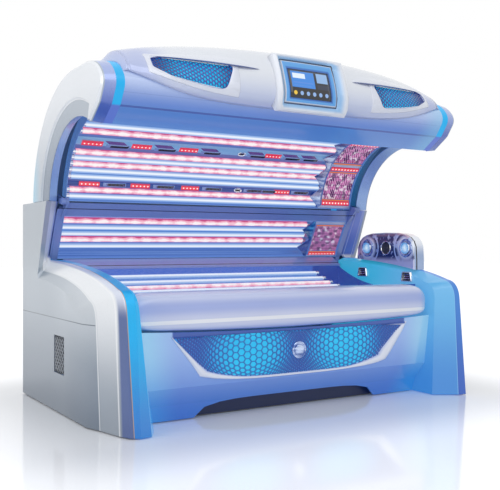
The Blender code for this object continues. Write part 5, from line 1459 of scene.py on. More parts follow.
def back_flutes():
    """Fluted reflector behind the rear wall's tubes, with a ridge between rows by the cube of a sine."""
    t = np.linspace(0.02, 0.98, 121)
    low, top = tub_line(0.118, 0.016, -0.004)
    phase = (t - BACK_ROW_SHARE) / BACK_ROW_PITCH
    ridge = sizes().scallop * np.abs(np.sin(math.pi * phase)) ** 3
    wall = low + t[:, None] * (top - low)
    chain, back = wall + ridge[:, None] * np.array([-0.89, -0.45]), wall + np.array([0.0015, 0.0008])
    band("back_flutes", back, chain, FLUTE_X, reflector(), "mirror", "base")


def row_frame(row, radius):
    """Point, tangent and inward direction of a canopy row at a radius."""
    turn = math.radians(ROW_DEGREES[row])
    cos, sin = math.cos(turn), math.sin(turn)
    point = np.array([0.0, *polar(radius, ROW_DEGREES[row])])
    return point, np.array([0.0, -sin, cos]), np.array([0.0, -cos, -sin])


def led_rows():
    """Light bars between the tubes: a base strip, red modules with five dots each, dark ones between.

    The upper bar is broad and pale, with a violet slanting pad above each dark module.
    """
    s = sizes()
    along = np.array([1.0, 0.0, 0.0])
    middle, half = (LAMP_X[0] + LAMP_X[1]) / 2, (LAMP_X[1] - LAMP_X[0]) / 2 - GAP
    for row, name, reds, base, half_up, drop, tall, ring_x, low in LED_BARS:
        upper = name == "upper"
        centre, tangent, inward = row_frame(row, LED_ROW_R)

        def pad(x, rise, wide, high, lift, steps, power, proud=0.0):
            spot = centre + tangent * drop + along * x + tangent * rise + inward * proud
            return pillow(spot, along * wide, high if np.ndim(high) else tangent * high, lift, steps, power)

        spot = centre + along * middle - inward * 0.010
        strip = pillow(spot, along * half, tangent * half_up, 0.010, 8, 16.0)
        paint = finish(f"{name}_led_base", base, gloss=0.25, depth=0.1, grain=500.0, coat=0.4, glow=0.25)
        put(f"{name}_led_strip", [strip], paint, "led", "canopy", (f"led_bar_{name}",))
        seat = centre + tangent * drop
        red = [pad(x, 0.0, s.led_module / 2, tall, 0.005, 8, 8.0) for x in reds]
        spots = [seat + along * (x + step * s.led_module) + inward * 0.0040
                 for x in reds for step in np.linspace(-0.38, 0.38, 5)]
        dots = [bead(spot, (along, tangent, inward), 0.0034, s.led_dot) for spot in spots]
        gaps = [x + 0.158 for x in reds[:-1]] + [ring_x + 0.118, reds[-1] + 0.150]
        gaps += [reds[-1] + 0.30] if upper else [0.235, 0.350]
        gaps = [x for x in gaps if x < LAMP_X[1] - 0.07]
        dark = [pad(x + 0.008, low, 0.068, 0.0100, 0.0050, 6, 8.0) for x in gaps]
        edges = [pad(x + 0.004, low * 0.9, 0.074, 0.0120, 0.0034, 6, 8.0) for x in gaps]
        if upper:
            slant = tangent * 0.0120 - along * 0.016
            slots = [pad(x - 0.012, 0.0130, 0.058, slant, 0.0050, 6, 8.0) for x in gaps]
        else:
            slots = [pad(x + 0.008 + k * 0.026, 0.0, 0.007, 0.0028, 0.0012, 4, 6.0, 0.0040)
                     for x in gaps for k in (-2, -1, 0, 1, 2)]
        ring = revolve(LED_RING, seat + along * ring_x, (along * 1.5, tangent * 0.8, inward), 28)
        core = pad(ring_x, 0.0, 0.017, 0.0060, 0.0016, 4, 4.0, 0.0030)
        groups = (("modules", red, red_light(), "led"), ("dots", dots, dot_light(), "lamp"),
                  ("blocks", dark + [core], plain("black_gloss"), "dark"),
                  ("block_edges", edges, plain("module_edge"), "led"),
                  ("slots", slots, plain("slot_violet"), "led"), ("ring", [ring], plain("chrome"), "chrome"))
        for label, parts, paint, slot in groups:
            put(f"{name}_led_{label}", parts, paint, slot, "canopy")


def tanner(name, across, windows, bars, lines, frames, body, nodes):
    """Face or shoulder unit: facet fields, red light bars with dots, thin amber lines and a pale frame.

    across maps x, a share along the unit and a depth below its face to points. Depth below 0 stands proud.
    In a facet field the depth is 0 along the border and steps from point to point inside it.
    """
    ends = TANNER_X[0] + 0.012, TANNER_X[1] - 0.010
    facets = []
    for low, high in windows:
        x = np.linspace(*ends, sizes().facets + 1)
        up = np.linspace(low, high, max(3, int((high - low) / 0.085)) + 1)
        i, j = np.meshgrid(np.arange(len(x)), np.arange(len(up)), indexing="ij")
        tent = ((i + j) % 2) * 0.6 + ((i * 3 + j * 5) % 4) * 0.14
        border = (i == 0) | (i == len(x) - 1) | (j == 0) | (j == len(up) - 1)
        points = across(x[:, None] + 0 * j, up[None, :] + 0 * i, np.where(border, 0.0, 0.012 * (0.35 + tent)))
        facets.append((points.reshape(-1, 3), grid_quads(*i.shape), np.stack([i, j], -1).reshape(-1, 2)))
    put(f"{name}_facets", facets, violet_facet(), "mirror", body, nodes, sharp=4, thick=0.0015, closed=False)
    groups = (("bars", bars, 0.005, red_light(), "led", ends),
              ("lines", lines, 0.003, plain("amber_light"), "led", ends),
              ("frame", frames, 0.0025, plain("unit_frame"), "mirror", TANNER_X))
    for label, spans, rise, paint, slot, x_ends in groups:
        strips = []
        for low, high in spans:
            x, v = np.meshgrid(np.linspace(*x_ends, 9), np.linspace(low, high, 9), indexing="ij")
            bow = (1 - np.abs(np.linspace(-1, 1, 9))[None, :] ** 6) * np.ones_like(x)
            uv = np.stack([x, (v - low) / (high - low)], -1)
            strips.append((across(x, v, -rise * bow).reshape(-1, 3), grid_quads(9, 9), uv.reshape(-1, 2)))
        put(f"{name}_{label}", strips, paint, slot, body, thick=0.002, closed=False)
    dots = []
    for v in [(low + high) / 2 for low, high in bars]:
        for x in np.linspace(ends[0] + 0.014, ends[1] - 0.014, 9):
            spot, near, side = (across(np.array(x), np.array(share), np.array(depth)) for share, depth in
                                ((v, -0.0055), (v, -0.0085), (v + 0.01, -0.0055)))
            up, inward = (way / np.linalg.norm(way) for way in (side - spot, near - spot))
            dots.append(bead(spot, ((1, 0, 0), up, inward), 0.0030, 0.0066))
    put(f"{name}_dots", dots, dot_light(), "lamp", body)


def face_unit():
    """Face unit of the canopy on the tunnel's arc. Shares run from its lower to its upper end."""
    def across(x, share, depth):
        degrees = lerp(*UNIT_DEG, share)
        return np.concatenate([np.asarray(x)[..., None], polar(UNIT_R + depth, degrees)], -1)

    windows = ((0.11, 0.44), (0.60, 0.93))
    bars = ((0.035, 0.085), (0.475, 0.525), (0.935, 0.980))
    lines = ((0.092, 0.100), (0.448, 0.456), (0.574, 0.582))
    frames = ((0.0, 0.030), (0.530, 0.568), (0.983, 1.0))
    tanner("face_unit", across, windows, bars, lines, frames, "canopy", ("face_tanner",))


def shoulder_unit():
    """Shoulder unit in the head end of the rear lamp tub. Shares run from its lower to its upper edge."""
    low, top = tub_line(0.010, 0.006, -0.004)

    def across(x, share, depth):
        share, depth = np.asarray(share)[..., None], np.asarray(depth)[..., None]
        yz = low + share * (top - low) + depth * np.array(TUB_OUT)
        return np.concatenate([np.asarray(x)[..., None], yz], -1)

    tanner("shoulder_unit", across, ((0.16, 0.86),), ((0.04, 0.10),), ((0.115, 0.130), (0.880, 0.895)),
           ((0.0, 0.03), (0.92, 1.0)), "base", ("shoulder_tanner",))


def lamp_end_covers():
    """Pointed covers over the tubes' head ends: a plate whose edge swings out between rows as a triangle."""
    for name, body, rows in (("canopy_end_cover", "canopy", 4), ("back_end_cover", "base", 2)):
        v = np.linspace(0.0, 1.0, rows * 16 + 1)
        tri = np.abs((v * rows) % 1.0 - 0.5) * 2
        left = END_COVER_X[0] - END_COVER_SWING * (1 - tri) ** 1.3
        if body == "canopy":
            degrees = lerp(*UNIT_DEG, v)
            front = polar(END_COVER_R[0] - END_COVER_FOLD * tri, degrees)
            back = polar(END_COVER_R[1], degrees)
        else:
            low, top = tub_line(0.016, 0.008, -0.005)
            wall = low + v[:, None] * (top - low)
            front = wall - (END_COVER_FOLD * tri)[:, None] * np.array(TUB_OUT)
            back = wall + np.array([0.005, 0.0025])
        stations = left, lerp(left, 0.8, 0.5), END_COVER_X[1]
        rings = [np.vstack([at_x(front, x), at_x(back, x)[::-1]]) for x in stations]
        loft(name, rings, shard_chrome(), "chrome", body, sharp=20)


@look(gloss=0.14, metal=0.8, depth=0.08, grain=600.0)
def shard_chrome(at):
    """Bluish chrome of the lamp-end covers, streaked along the bed."""
    return at.noise(2.0, 2.0, (5.0, 22.0, 22.0)).step(0.35, 0.65).mix("#5f78b4", "#c6d4f0")


def column_lining(side):
    """Plate along the tub's front that closes the gap between the rear wall and an end panel's column."""
    chain = np.array([(TUB_LOW[0] + 0.004, TUB_LOW[1] + 0.002), (TUB_TOP[0] + 0.004, TUB_TOP[1]),
                      (0.316, 1.150)])
    fine = np.vstack([lerp(a, b, np.linspace(0.0, 1.0, 6)[:, None]) for a, b in zip(chain, chain[1:])])
    fine = np.delete(fine, 6, axis=0)
    x = np.sort(side * np.array([TUB_HALF + 0.0006, TUB_HALF + 0.016, COLUMN_RIM_X - 0.0166,
                                 COLUMN_RIM_X - 0.0006]))
    band(f"{hand(side)}_column_lining", fine, fine + np.array([0.003, 0.001]), x, lavender_paint(),
         "lavender", "base")


def brow_window():
    """Ends along x and along the cover's share of the open part of a brow window."""
    x = GRILLE_SHARE[0] * COVER_HALF + WINDOW_INSET, GRILLE_SHARE[1] * COVER_HALF - WINDOW_INSET
    return x, (GRILLE_POINTS[0] + WINDOW_EDGE, GRILLE_POINTS[1] - WINDOW_EDGE)


def brow_cover():
    """Top cover on a grid of stations and shares from its front edge, open at the two grille windows."""
    (low, high), (t_low, t_high) = brow_window()
    half = np.unique(np.concatenate([np.linspace(0.0, COVER_HALF, 49), [low, high]]))
    x = np.concatenate([-half[:0:-1], half])
    t = np.unique(np.concatenate([np.linspace(0.0, 1.0, COVER_POINTS + 1), [t_low, t_high]]))
    points = cover_point(x, [t] * len(x))
    quads = grid_quads(len(x), len(t))
    i, j = np.divmod(np.arange(len(quads)), len(t) - 1)
    mid_x, mid_t = np.abs(x[:-1] + x[1:])[i] / 2, (t[:-1] + t[1:])[j] / 2
    window = (mid_x > low) & (mid_x < high) & (mid_t > t_low) & (mid_t < t_high)
    piece("brow_cover", points, quads[~window][:, ::-1], pearl(), "white_silver", "canopy", ("top_cover",),
          thick=SKIN, closed=False, sharp=28)


def brow_end(side):
    """End of the brow: its outline eases down to the canopy's outline with the power 1.6 of the share."""
    top, foot = cover_chain(COVER_HALF), offset(cover_base(COVER_HALF), -0.0006)
    share = np.linspace(0.0, 1.0, 9)
    rings = np.array([at_x(lerp(top, foot, s ** 1.6),
                           lerp(COVER_HALF + GAP, STRIP_X - 0.0012, s)) for s in share])
    piece(f"{hand(side)}_brow_end", mirrored(rings, side), facing(grid_quads(*rings.shape[:2]), side),
          pearl(), "white_silver", "canopy", thick=0.002, closed=False)


def on_cover(x, t, lift):
    """Points of the cover's surface at any x and t, between the nearest points of a fine grid of it."""
    xs, ts = np.linspace(x.min() - 1e-6, x.max() + 1e-6, 40), np.linspace(t.min() - 1e-6, t.max() + 1e-6, 24)
    net = cover_point(xs, [ts] * len(xs), lift)
    i, j = (x - xs[0]) / (xs[1] - xs[0]), (t - ts[0]) / (ts[1] - ts[0])
    i0, j0 = np.minimum(i.astype(int), 38), np.minimum(j.astype(int), 22)
    a, b = (i - i0)[:, None], (j - j0)[:, None]
    return ((1 - a) * (1 - b) * net[i0, j0] + a * (1 - b) * net[i0 + 1, j0] + (1 - a) * b * net[i0, j0 + 1]
            + a * b * net[i0 + 1, j0 + 1])


def brow_lattice(side):
    """Honeycomb in a brow window, laid on the cover's surface a little below it."""
    (low, high), (t_low, t_high) = brow_window()
    limit = np.array([(high - low) / 2 - 0.0004, (t_high - t_low) * WINDOW_RUN / 2 - 0.0004])
    pitch = sizes().brow_cell
    centres, corners = honeycomb(2 * limit[0], 2 * limit[1], pitch, pitch * 0.29)
    kept = np.all(np.abs(centres) < limit - 0.001, axis=1)
    points, quads = lattice(centres[kept], corners[kept], 0.66)
    points = np.clip(points, -limit, limit)
    x, t = (low + high) / 2 + points[:, 0], (t_low + t_high) / 2 + points[:, 1] / WINDOW_RUN
    piece(f"{hand(side)}_brow_lattice", mirrored(on_cover(x, t, -0.0012), side), facing(quads, side),
          brow_blue(), "cyan", "canopy", thick=0.0026, closed=False)


@look(gloss=0.26, depth=0.12, grain=500.0, coat=0.4)
def brow_blue(at):
    """Deep blue lattice, a little paler round the window's bright eye."""
    return abs(abs(at.x) - BROW_EYE).fade(0.06, 0.22, "#2450ae", "#141f74")


def brow_lip(side):
    """Overhanging lip along a brow window's upper edge: a ridge that tapers to nothing at both ends.

    Its height follows a sine bow along the window, skewed so that the ridge runs out towards the display.
    """
    low, high = GRILLE_SHARE[0] * COVER_HALF - 0.150, GRILLE_SHARE[1] * COVER_HALF + 0.020
    x = np.linspace(low, high, 49)
    along = (x - low) / (high - low)
    bow = np.sin(math.pi * along ** 0.8) ** 0.7
    top = GRILLE_POINTS[1] - WINDOW_EDGE
    stages = ((0.080, -0.0010), (0.062, 0.0030), (0.046, 0.0078), (0.030, 0.0120), (0.006, 0.0170),
              (-0.006, 0.0165), (-0.002, 0.0080), (0.006, -0.0010))
    rings = []
    for t, proud in stages:
        share = (top + t * lerp(0.15, 1.0, bow))[:, None]
        rings.append(raised(lambda even: cover_point(x, share, even)[:, 0],
                            proud * np.where(proud > 0, bow, 1.0)))
    rings = mirrored(np.array(rings).transpose(1, 0, 2), side)
    stage = np.broadcast_to(np.arange(len(stages))[None, :] / (len(stages) - 1), rings.shape[:2])
    loft(f"{hand(side)}_brow_lip", rings, lip_paint(), "white_silver", "canopy", (), twin(stage), sharp=40)


@look(gloss=0.22, depth=0.06, grain=600.0, coat=0.5)
def lip_paint(at):
    """Pearl lip whose underside is in deep blue shade."""
    return at.u.step(0.60, 0.70).mix("#e9ecf4", "#35509c")


def brow_rim(side):
    """Lens-shaped rim of a brow window, laid on the cover over the window's corners.

    Its inner outline is a superellipse whose power falls at the lower outer corner, slanted at the
    display's side; its outer outline is the window's own rectangle.
    """
    angle = np.linspace(0, 2 * math.pi, 120, endpoint=False)
    c, s = np.cos(angle), np.sin(angle)
    outer = np.stack([c, s], -1) / np.maximum(np.abs(c), np.abs(s))[:, None]
    low_corner, top_corner = (2 * np.clip(c, 0, 1) * np.clip(way * s, 0, 1) for way in (-1, 1))
    power = 8.0 - 5.4 * low_corner - 3.6 * top_corner
    inner = np.stack([c, s], -1) / ((np.abs(c) ** power + np.abs(s) ** power) ** (1 / power))[:, None]
    inner[:, 0] += 0.26 * (1 - inner[:, 1]) / 2 * (1 - inner[:, 0]) / 2
    middle = np.array([sum(GRILLE_SHARE) / 2 * COVER_HALF, sum(GRILLE_POINTS) / 2])
    half = np.array([(GRILLE_SHARE[1] - GRILLE_SHARE[0]) * COVER_HALF,
                     GRILLE_POINTS[1] - GRILLE_POINTS[0]]) / 2
    rings = (outer * (half + (0.018, 0.016)), outer * (half + (0.013, 0.011)),
             inner * (half - (0.004, 0.008)),
             inner * (half - (0.008, 0.012)), inner * (half - (0.009, 0.013)))
    flat = middle + np.stack(rings, 1)
    shape, (x, t) = flat.shape[:2], flat.reshape(-1, 2).T
    proud = np.array([-0.0008, 0.0034, 0.0046, 0.0030, -0.0010])
    points = raised(lambda even: on_cover(x, t, even).reshape(*shape, 3), proud)
    quads = grid_quads(*shape, wrap_rows=True)
    stage = np.broadcast_to(np.arange(len(rings)) / 4.0, shape)
    piece(f"{hand(side)}_brow_rim", mirrored(points, side), facing(quads, -side), rim_pearl(), "white_silver",
          "canopy", (), twin(stage), thick=0.0012, closed=False, sharp=40)


@look(gloss=0.22, depth=0.05, grain=600.0, coat=0.5)
def rim_pearl(at):
    """Pearl rim whose inner wall is in blue shade."""
    return at.u.step(0.55, 0.80).mix("#e6e9f4", "#4f6cc0")


def display_flat(t):
    """Lift that flattens the cover's bulge at the display: it grows as the square from mid height."""
    share = (t - sum(DISPLAY_POINTS) / 2) / (DISPLAY_POINTS[1] - DISPLAY_POINTS[0]) * 2
    return DISPLAY_SAG * share ** 2


def display_surround():
    """Raised surround of the display: four walls that rise, round over and slope in to the housing."""
    half = DISPLAY_SHARE * COVER_HALF
    sides = np.array([-0.056, -0.046, -0.034, -0.026, -0.004])
    head = np.array([-0.092, -0.082, -0.070, -0.062, -0.004])
    edges = np.array([-0.030, -0.024, -0.017, -0.012, -0.002])
    lifts = np.array([-0.0008, 0.0120, 0.0205, 0.0215, 0.0075])
    x = np.concatenate([-half + sides, np.linspace(-half, half, 9)[1:-1], (half - head)[::-1]])
    t = np.concatenate([DISPLAY_POINTS[0] + edges / DISPLAY_RUN, np.linspace(*DISPLAY_POINTS, 7)[1:-1],
                        (DISPLAY_POINTS[1] - edges / DISPLAY_RUN)[::-1]])
    stage = np.minimum.outer(from_edge(len(x), 5), from_edge(len(t), 5))
    lift = np.append(lifts, 0.0)[stage] + np.where(stage > 0, display_flat(t)[None, :], 0.0)
    quads = grid_quads(len(x), len(t))[:, ::-1]
    kept = (stage.reshape(-1)[quads] < 5).all(axis=1)
    piece("display_surround", raised_grid(x, t, lift), quads[kept], surround_paint(), "white_silver",
          "canopy", (), twin(np.minimum(stage, 4) / 4.0), thick=0.002, closed=False, sharp=30)


@look(gloss=0.2, depth=0.05, grain=600.0, coat=0.5)
def surround_paint(at):
    """Pearl surround with light-blue inner walls."""
    return at.u.step(0.74, 0.92).mix("#eceff6", "#9cc8f2")


SCREEN_TILES = ((0.05, 0.62, 0.32, 0.93, "#2f86e0"), (0.09, 0.40, 0.66, 0.86, "#e6f2ff"),
                (0.09, 0.58, 0.48, 0.54, "#4d8ae0"), (0.09, 0.52, 0.38, 0.42, "#4d8ae0"),
                (0.67, 0.95, 0.56, 0.93, "#8fb6e4"), (0.67, 0.95, 0.32, 0.50, "#1a2640"))
SCREEN_MARKS = ("#f2c838",) + ("#8fb4e8",) * 5


def distance(across, up):
    """Wire of the distance that two wires make at right angles."""
    return (across * across + up * up).calc("SQRT")


@look(gloss=0.08, depth=0.02, grain=300.0, bump=0.0, coat=0.6, glow=0.8)
def screen_picture(at):
    """Plain screen: dark ground, a blue field with paler bars, and a row of six round marks below."""
    u, v = at.u, at.v
    base = v.fade(0.0, 1.0, "#05070f", "#0d1526")
    for u0, u1, v0, v1, code in SCREEN_TILES:
        across = u.step(u0, u0 + 0.01) * (1.0 - u.step(u1 - 0.01, u1))
        base = (across * (v.step(v0, v0 + 0.015) * (1.0 - v.step(v1 - 0.015, v1)))).mix(base, code)
    for i, code in enumerate(SCREEN_MARKS):
        far = distance((u - (0.12 + 0.152 * i)) * 1.55, v - 0.15)
        base = (1.0 - far.step(0.055, 0.07)).mix(base, code)
    return base


def display_unit():
    """Display on the brow: rounded shoulder, flat lit bezel and slope to the screen, laid on the cover."""
    half = DISPLAY_SHARE * COVER_HALF
    bezel = sizes().bezel
    steps = np.array([0.0, 0.0035, 0.009, bezel * 0.62, bezel])
    lifts = np.array([0.0004, 0.0060, 0.0085, 0.0085, 0.0030])
    inside = np.linspace(-(half - bezel), half - bezel, 11)
    x = np.concatenate([-half + steps[:-1], inside, (half - steps[:-1])[::-1]])
    lower = np.array((0.0, 0.0030, 0.0060, 0.0100, 0.0150)) / DISPLAY_RUN
    upper = np.array((0.0, 0.0035, 0.0090, 0.0240, 0.0340)) / DISPLAY_RUN
    t_mid, t_half = sum(DISPLAY_POINTS) / 2, (DISPLAY_POINTS[1] - DISPLAY_POINTS[0]) / 2
    t_in = np.linspace(-(t_half - lower[-1]), t_half - upper[-1], 7)
    t = t_mid + np.concatenate([-t_half + lower[:-1], t_in, (t_half - upper[:-1])[::-1]])
    stage = np.minimum.outer(from_edge(len(x), 4), from_edge(len(t), 4))
    quads = grid_quads(len(x), len(t))[:, ::-1]
    piece("display_housing", raised_grid(x, t, lifts[stage] + display_flat(t)[None, :]), quads, bezel_light(),
          "dark", "canopy", ("display",), twin(stage / 4), thick=0.002, closed=False, sharp=26)
    x = np.linspace(inside[0] + 0.002, inside[-1] - 0.002, 13)
    t = t_mid + np.linspace(t_in[0] + 0.003, t_in[-1] - 0.003, 9)
    uv = np.stack(np.meshgrid(np.linspace(0, 1, len(x)), np.linspace(0, 1, len(t)), indexing="ij"), -1)
    piece("display_screen", raised_grid(x, t, 0.0046 + display_flat(t)), grid_quads(len(x), len(t))[:, ::-1],
          screen_picture(), "glass_blue", "canopy", (), uv, thick=0.001, closed=False)


@look(gloss=0.2, depth=0.06, grain=500.0, coat=0.5, glow=0.35)
def bezel_light(at):
    """Housing: silver shoulder, then a lit light-blue bezel and a deeper blue lining down to the screen."""
    return at.u.step(0.78, 0.95).mix(at.u.fade(0.30, 0.52, "#cdd6e4", "#58a4e6"), "#2d6cc0")


@look(gloss=0.16, metal=0.5, depth=0.1, grain=600.0, coat=0.4)
def pod_chrome(at):
    """Pod: dark fascia that pales in a ring about each outlet, silver shroud and a black line between."""
    x, z = at.x, at.z
    far = distance(abs(at.y - sum(OUTLET_Y) / 2) - (OUTLET_Y[1] - OUTLET_Y[0]) / 2, z - OUTLET_Z)
    face = far.line(0.112, 0.010).mix(far.fade(0.066, 0.098, "#e4ecf8", "#1d2c66"), "#b9cbea")
    face = (at.noise(24.0, 2.0).step(0.53, 0.62) * 0.75).mix(face, "#c2d2f4")
    face = z.step(0.815, 0.860).mix("#cdd0ea", face)
    shroud = z.fade(0.86, 0.97, "#9fb2d2", "#f1f4f9")
    base = x.step(POD_FACE_X + 0.004, POD_FACE_X + 0.008).mix(face, shroud)
    base = x.line(POD_FACE_X + 0.020, 0.008).mix(base, "#15181f")
    return (z.step(0.985, 1.015) * 0.5).mix(base, "#e0a0a8")


def pod_details():
    """Bezels round the outlets' bores and the ringed speaker between them."""
    bezels = [revolve(OUTLET_BEZEL, (POD_FACE_X, y, OUTLET_Z), HEAD_AXES, 48, True) for y in OUTLET_Y]
    put("outlet_bezels", bezels, shard_chrome(), "chrome", "base")
    rings = revolve(SPEAKER_RINGS, (POD_FACE_X + 0.0040, SPEAKER_Y, OUTLET_Z), HEAD_AXES, 48)
    put("speaker_rings", [rings], plain("dark_plastic"), "dark", "base", sharp=24)
    bezel = revolve(SPEAKER_BEZEL, (POD_FACE_X, SPEAKER_Y, OUTLET_Z), HEAD_AXES, 48, True)
    put("speaker_bezel", [bezel], plain("chrome"), "chrome", "base")


def outlet(name, y):
    """Swivelling outlet: a ball cut flat, with a crystal of twelve facets rising to its middle."""
    along = np.linspace(-0.022, 0.016, 17)
    ball = np.stack([along, np.sqrt(OUTLET_R ** 2 - along ** 2)], -1)
    profile = np.vstack([ball, [0.0180, 0.0400], [0.0178, 0.0385], [0.0120, 0.0372]])
    ball = revolve(profile, (OUTLET_X, y, OUTLET_Z), HEAD_AXES, 48)
    put(f"{name}_ball", [ball], plain("chrome"), "chrome", name, (f"pod_{name}",))
    turn = np.linspace(0.0, 2 * math.pi, CRYSTAL_SIDES, endpoint=False)
    share = np.linspace(0.0, 1.0, 5)[:, None]
    height = 0.0122 + 0.0056 * (1 - share) + 0.0022 * share * (1 - share) * 4 * np.cos(12 * turn)[None]
    radius = 0.0368 * share * np.ones(CRYSTAL_SIDES)[None]
    top = np.stack([OUTLET_X - height, y + radius * np.cos(turn), OUTLET_Z + radius * np.sin(turn)], -1)
    low = np.stack([np.full((1, CRYSTAL_SIDES), OUTLET_X - 0.0115), top[-1:, :, 1], top[-1:, :, 2]], -1)
    tip = np.broadcast_to(np.array([OUTLET_X - 0.0115, y, OUTLET_Z]), low.shape)
    grid = np.concatenate([top, low, tip])
    uv = np.stack(np.broadcast_arrays(np.append(1 - share[:, 0], [0, 0])[:, None], turn[None]), -1)
    piece(f"{name}_crystal", grid, grid_quads(len(grid), CRYSTAL_SIDES, False, True), ice_crystal(),
          "glass_blue", name, (), uv, sharp=6)


def head_vent(name, y, z):
    """Air vent on the leaning face: a frame carried round a trapezoid, a dark floor and three slats."""
    corners = np.array([(-0.052, -0.032), (0.052, -0.032), (0.050, 0.034), (-0.030, 0.034)])
    outline = np.vstack([bezier(lerp(b, a, 0.12), b, lerp(b, c, 0.12), 3) for a, b, c in
                         zip(np.roll(corners, 1, 0), corners, np.roll(corners, -1, 0))])
    middle = corners.mean(0)

    def ring(scale, proud):
        flat = middle + (outline - middle) * scale + (y, z)
        return at_x(flat, inner_x(flat[:, 1]) - proud)

    stages = ((1.0, GAP), (1.0, 0.0100), (0.95, 0.0138), (0.83, 0.0138), (0.79, 0.0080), (0.79, GAP))
    loft(f"{name}_frame", [ring(*stage) for stage in stages], plain("chrome"), "chrome", "base", (name,),
         closed_run=True, sharp=28)
    loft(f"{name}_floor", [ring(0.80, 0.0012), ring(0.80, 0.0035)], plain("black_gloss"), "dark", "base")
    slats = [pillow((inner_x(z + rise) - 0.0062, y + 0.004, z + rise), (0.0, -0.030, 0.0),
                    (-0.0030, 0.0, 0.0028), 0.0012, 4, 6.0) for rise in (-0.012, 0.001, 0.014)]
    put(f"{name}_slats", slats, plain("chrome"), "chrome", "base")


def dress_frame():
    """Finishes of the frame's own pieces that stay in sight."""
    looks = ((front_paint(), ("front_panel",)),
             (cell_light(), ("front_grille", "left_top_grille", "right_top_grille")),
             (lavender_paint(), ("hinge_beam", "rear_ledge", "left_hinge_post", "right_hinge_post")),
             (plain("plain_silver"), ("rear_cover",)), (pod_chrome(), ("head_pod",)),
             (navy_plastic(), ("toe_kick",)),
             (reflector(), ("canopy_reflector", "back_reflector")), (tray_mirror(), ("bench_reflector",)),
             (plain("white_bank"), ("canopy_front_lamp_bank",)),
             (plain("dark_plastic"), ("foot_left", "foot_right", "cooling_fan")),
             (plain("steel"), ("base_pan", "ballast_tray")))
    for paint, names in looks:
        for name in names:
            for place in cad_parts[name].material_slots:
                place.material = paint


def stand(name, data, spot, turn):
    """Object at a spot with a turn about X, Y and Z."""
    holder = bpy.data.objects.new(name, data)
    holder.location, holder.rotation_euler = spot, turn
    bpy.context.scene.collection.objects.link(holder)
    return holder


def studio():
    """Pale floor that keeps the shadow, white surround, two soft lights and the photographer's camera."""
    scene = bpy.context.scene
    stage = scene.bed_stage
    scene.view_settings.view_transform = "Standard"
    scene.world = bpy.data.worlds.new("surround")
    scene.world.use_nodes = True
    tree = scene.world.node_tree
    tree.nodes.clear()
    light = node(tree, "Background", ((0.93, 0.96, 1.0), stage.sky_level))
    white = node(tree, "Background", ((1.0, 1.0, 1.0), 1.0))
    out = tree.nodes.new("ShaderNodeOutputWorld")
    feed(tree, out.inputs["Surface"], node(tree, "MixShader", (seen_directly(tree), light, white)))
    x, y = np.meshgrid(np.linspace(-30.0, 30.0, 5), np.linspace(-30.0, 30.0, 5), indexing="ij")
    mesh = bpy.data.meshes.new("studio_floor")
    points = np.stack([x, y, np.zeros_like(x)], -1).reshape(-1, 3)
    mesh.from_pydata(points.tolist(), [], grid_quads(5, 5)[:, ::-1].tolist())
    mesh.materials.append(floor_paint(stage))
    floor = stand("studio_floor", mesh, (0.0, 0.0, 0.0), (0.0, 0.0, 0.0))
    lights = (("key", (-1.2, -3.6, 4.6), (0.0, 0.0, 0.9), 4.0, stage.key_power),
              ("fill", (-4.6, -1.2, 2.4), (0.0, 0.0, 1.0), 3.0, stage.fill_power))
    for name, spot, aim, width, power in lights:
        lamp = bpy.data.lights.new(name, "AREA")
        lamp.size, lamp.energy = width, power
        x, y, z = np.array(aim) - np.array(spot)
        stand(name, lamp, spot, (math.atan2(math.hypot(x, y), -z), 0.0, math.atan2(-x, y)))
    camera = bpy.data.cameras.new("camera")
    camera.lens, camera.sensor_width, camera.shift_y = CAMERA_LENS, CAMERA_SENSOR, CAMERA_SHIFT
    scene.camera = stand("camera", camera, CAMERA_PLACE, tuple(math.radians(a) for a in CAMERA_TURN))


def seen_directly(tree):
    """1 for rays of the camera, of mirrors and of glass."""
    path = tree.nodes.new("ShaderNodeLightPath").outputs
    kinds = "Camera", "Glossy", "Transmission"
    camera, glossy, glass = (Wire(tree, path[f"Is {kind} Ray"]) for kind in kinds)
    return camera.calc("MAXIMUM", glossy).calc("MAXIMUM", glass)


def floor_paint(stage):
    """Pale gloss floor. Seen directly it is lifted to white away from the bed, and keeps its shadow."""
    made = bpy.data.materials.new("floor_paint")
    made.use_nodes = True
    tree = made.node_tree
    shader = tree.nodes["Principled BSDF"]
    at = Spot(tree)
    for label, value in (("Base Color", at.noise(0.8, 2.0).mix(stage.floor, "#f8f8fa")), ("Roughness", 0.10),
                         ("Specular IOR Level", 0.9)):
        feed(tree, shader.inputs[label], value)
    past = [(abs(part) - reach).calc("MAXIMUM", 0.0) for part, reach in ((at.x, HALF_LENGTH), (at.y, REAR_Y))]
    level = distance(*past).step(0.10, 0.80).calc("MULTIPLY_ADD", 0.25, 0.03)
    body = Wire(tree, shader.outputs[0])
    lifted = node(tree, "AddShader", (body, node(tree, "Emission", ((1.0, 1.0, 1.0), level))))
    blend = node(tree, "MixShader", (seen_directly(tree), body, lifted))
    feed(tree, tree.nodes["Material Output"].inputs["Surface"], blend)
    return made


class BED_OT_end_panels(Operator):
    """Adds both end panels, the side vent and the lit inner panels"""
    bl_idname = "bed.end_panels"
    bl_label = "End panels"

    def execute(self, context):
        for side in (-1, 1):
            end_panel(side)
            light_panel(side)
        side_vent()
        return {"FINISHED"}


class BED_OT_front(Operator):
    """Adds the front window's rim, lattice and badge, and the rail above them"""
    bl_idname = "bed.front"
    bl_label = "Front"

    def execute(self, context):
        window_rim()
        front_lattice()
        front_badge()
        front_rail()
        return {"FINISHED"}


class BED_OT_bench(Operator):
    """Adds the clear bench and the tubes under it"""
    bl_idname = "bed.bench"
    bl_label = "Bench"

    def execute(self, context):
        bench_sheet()
        bench_tubes()
        return {"FINISHED"}


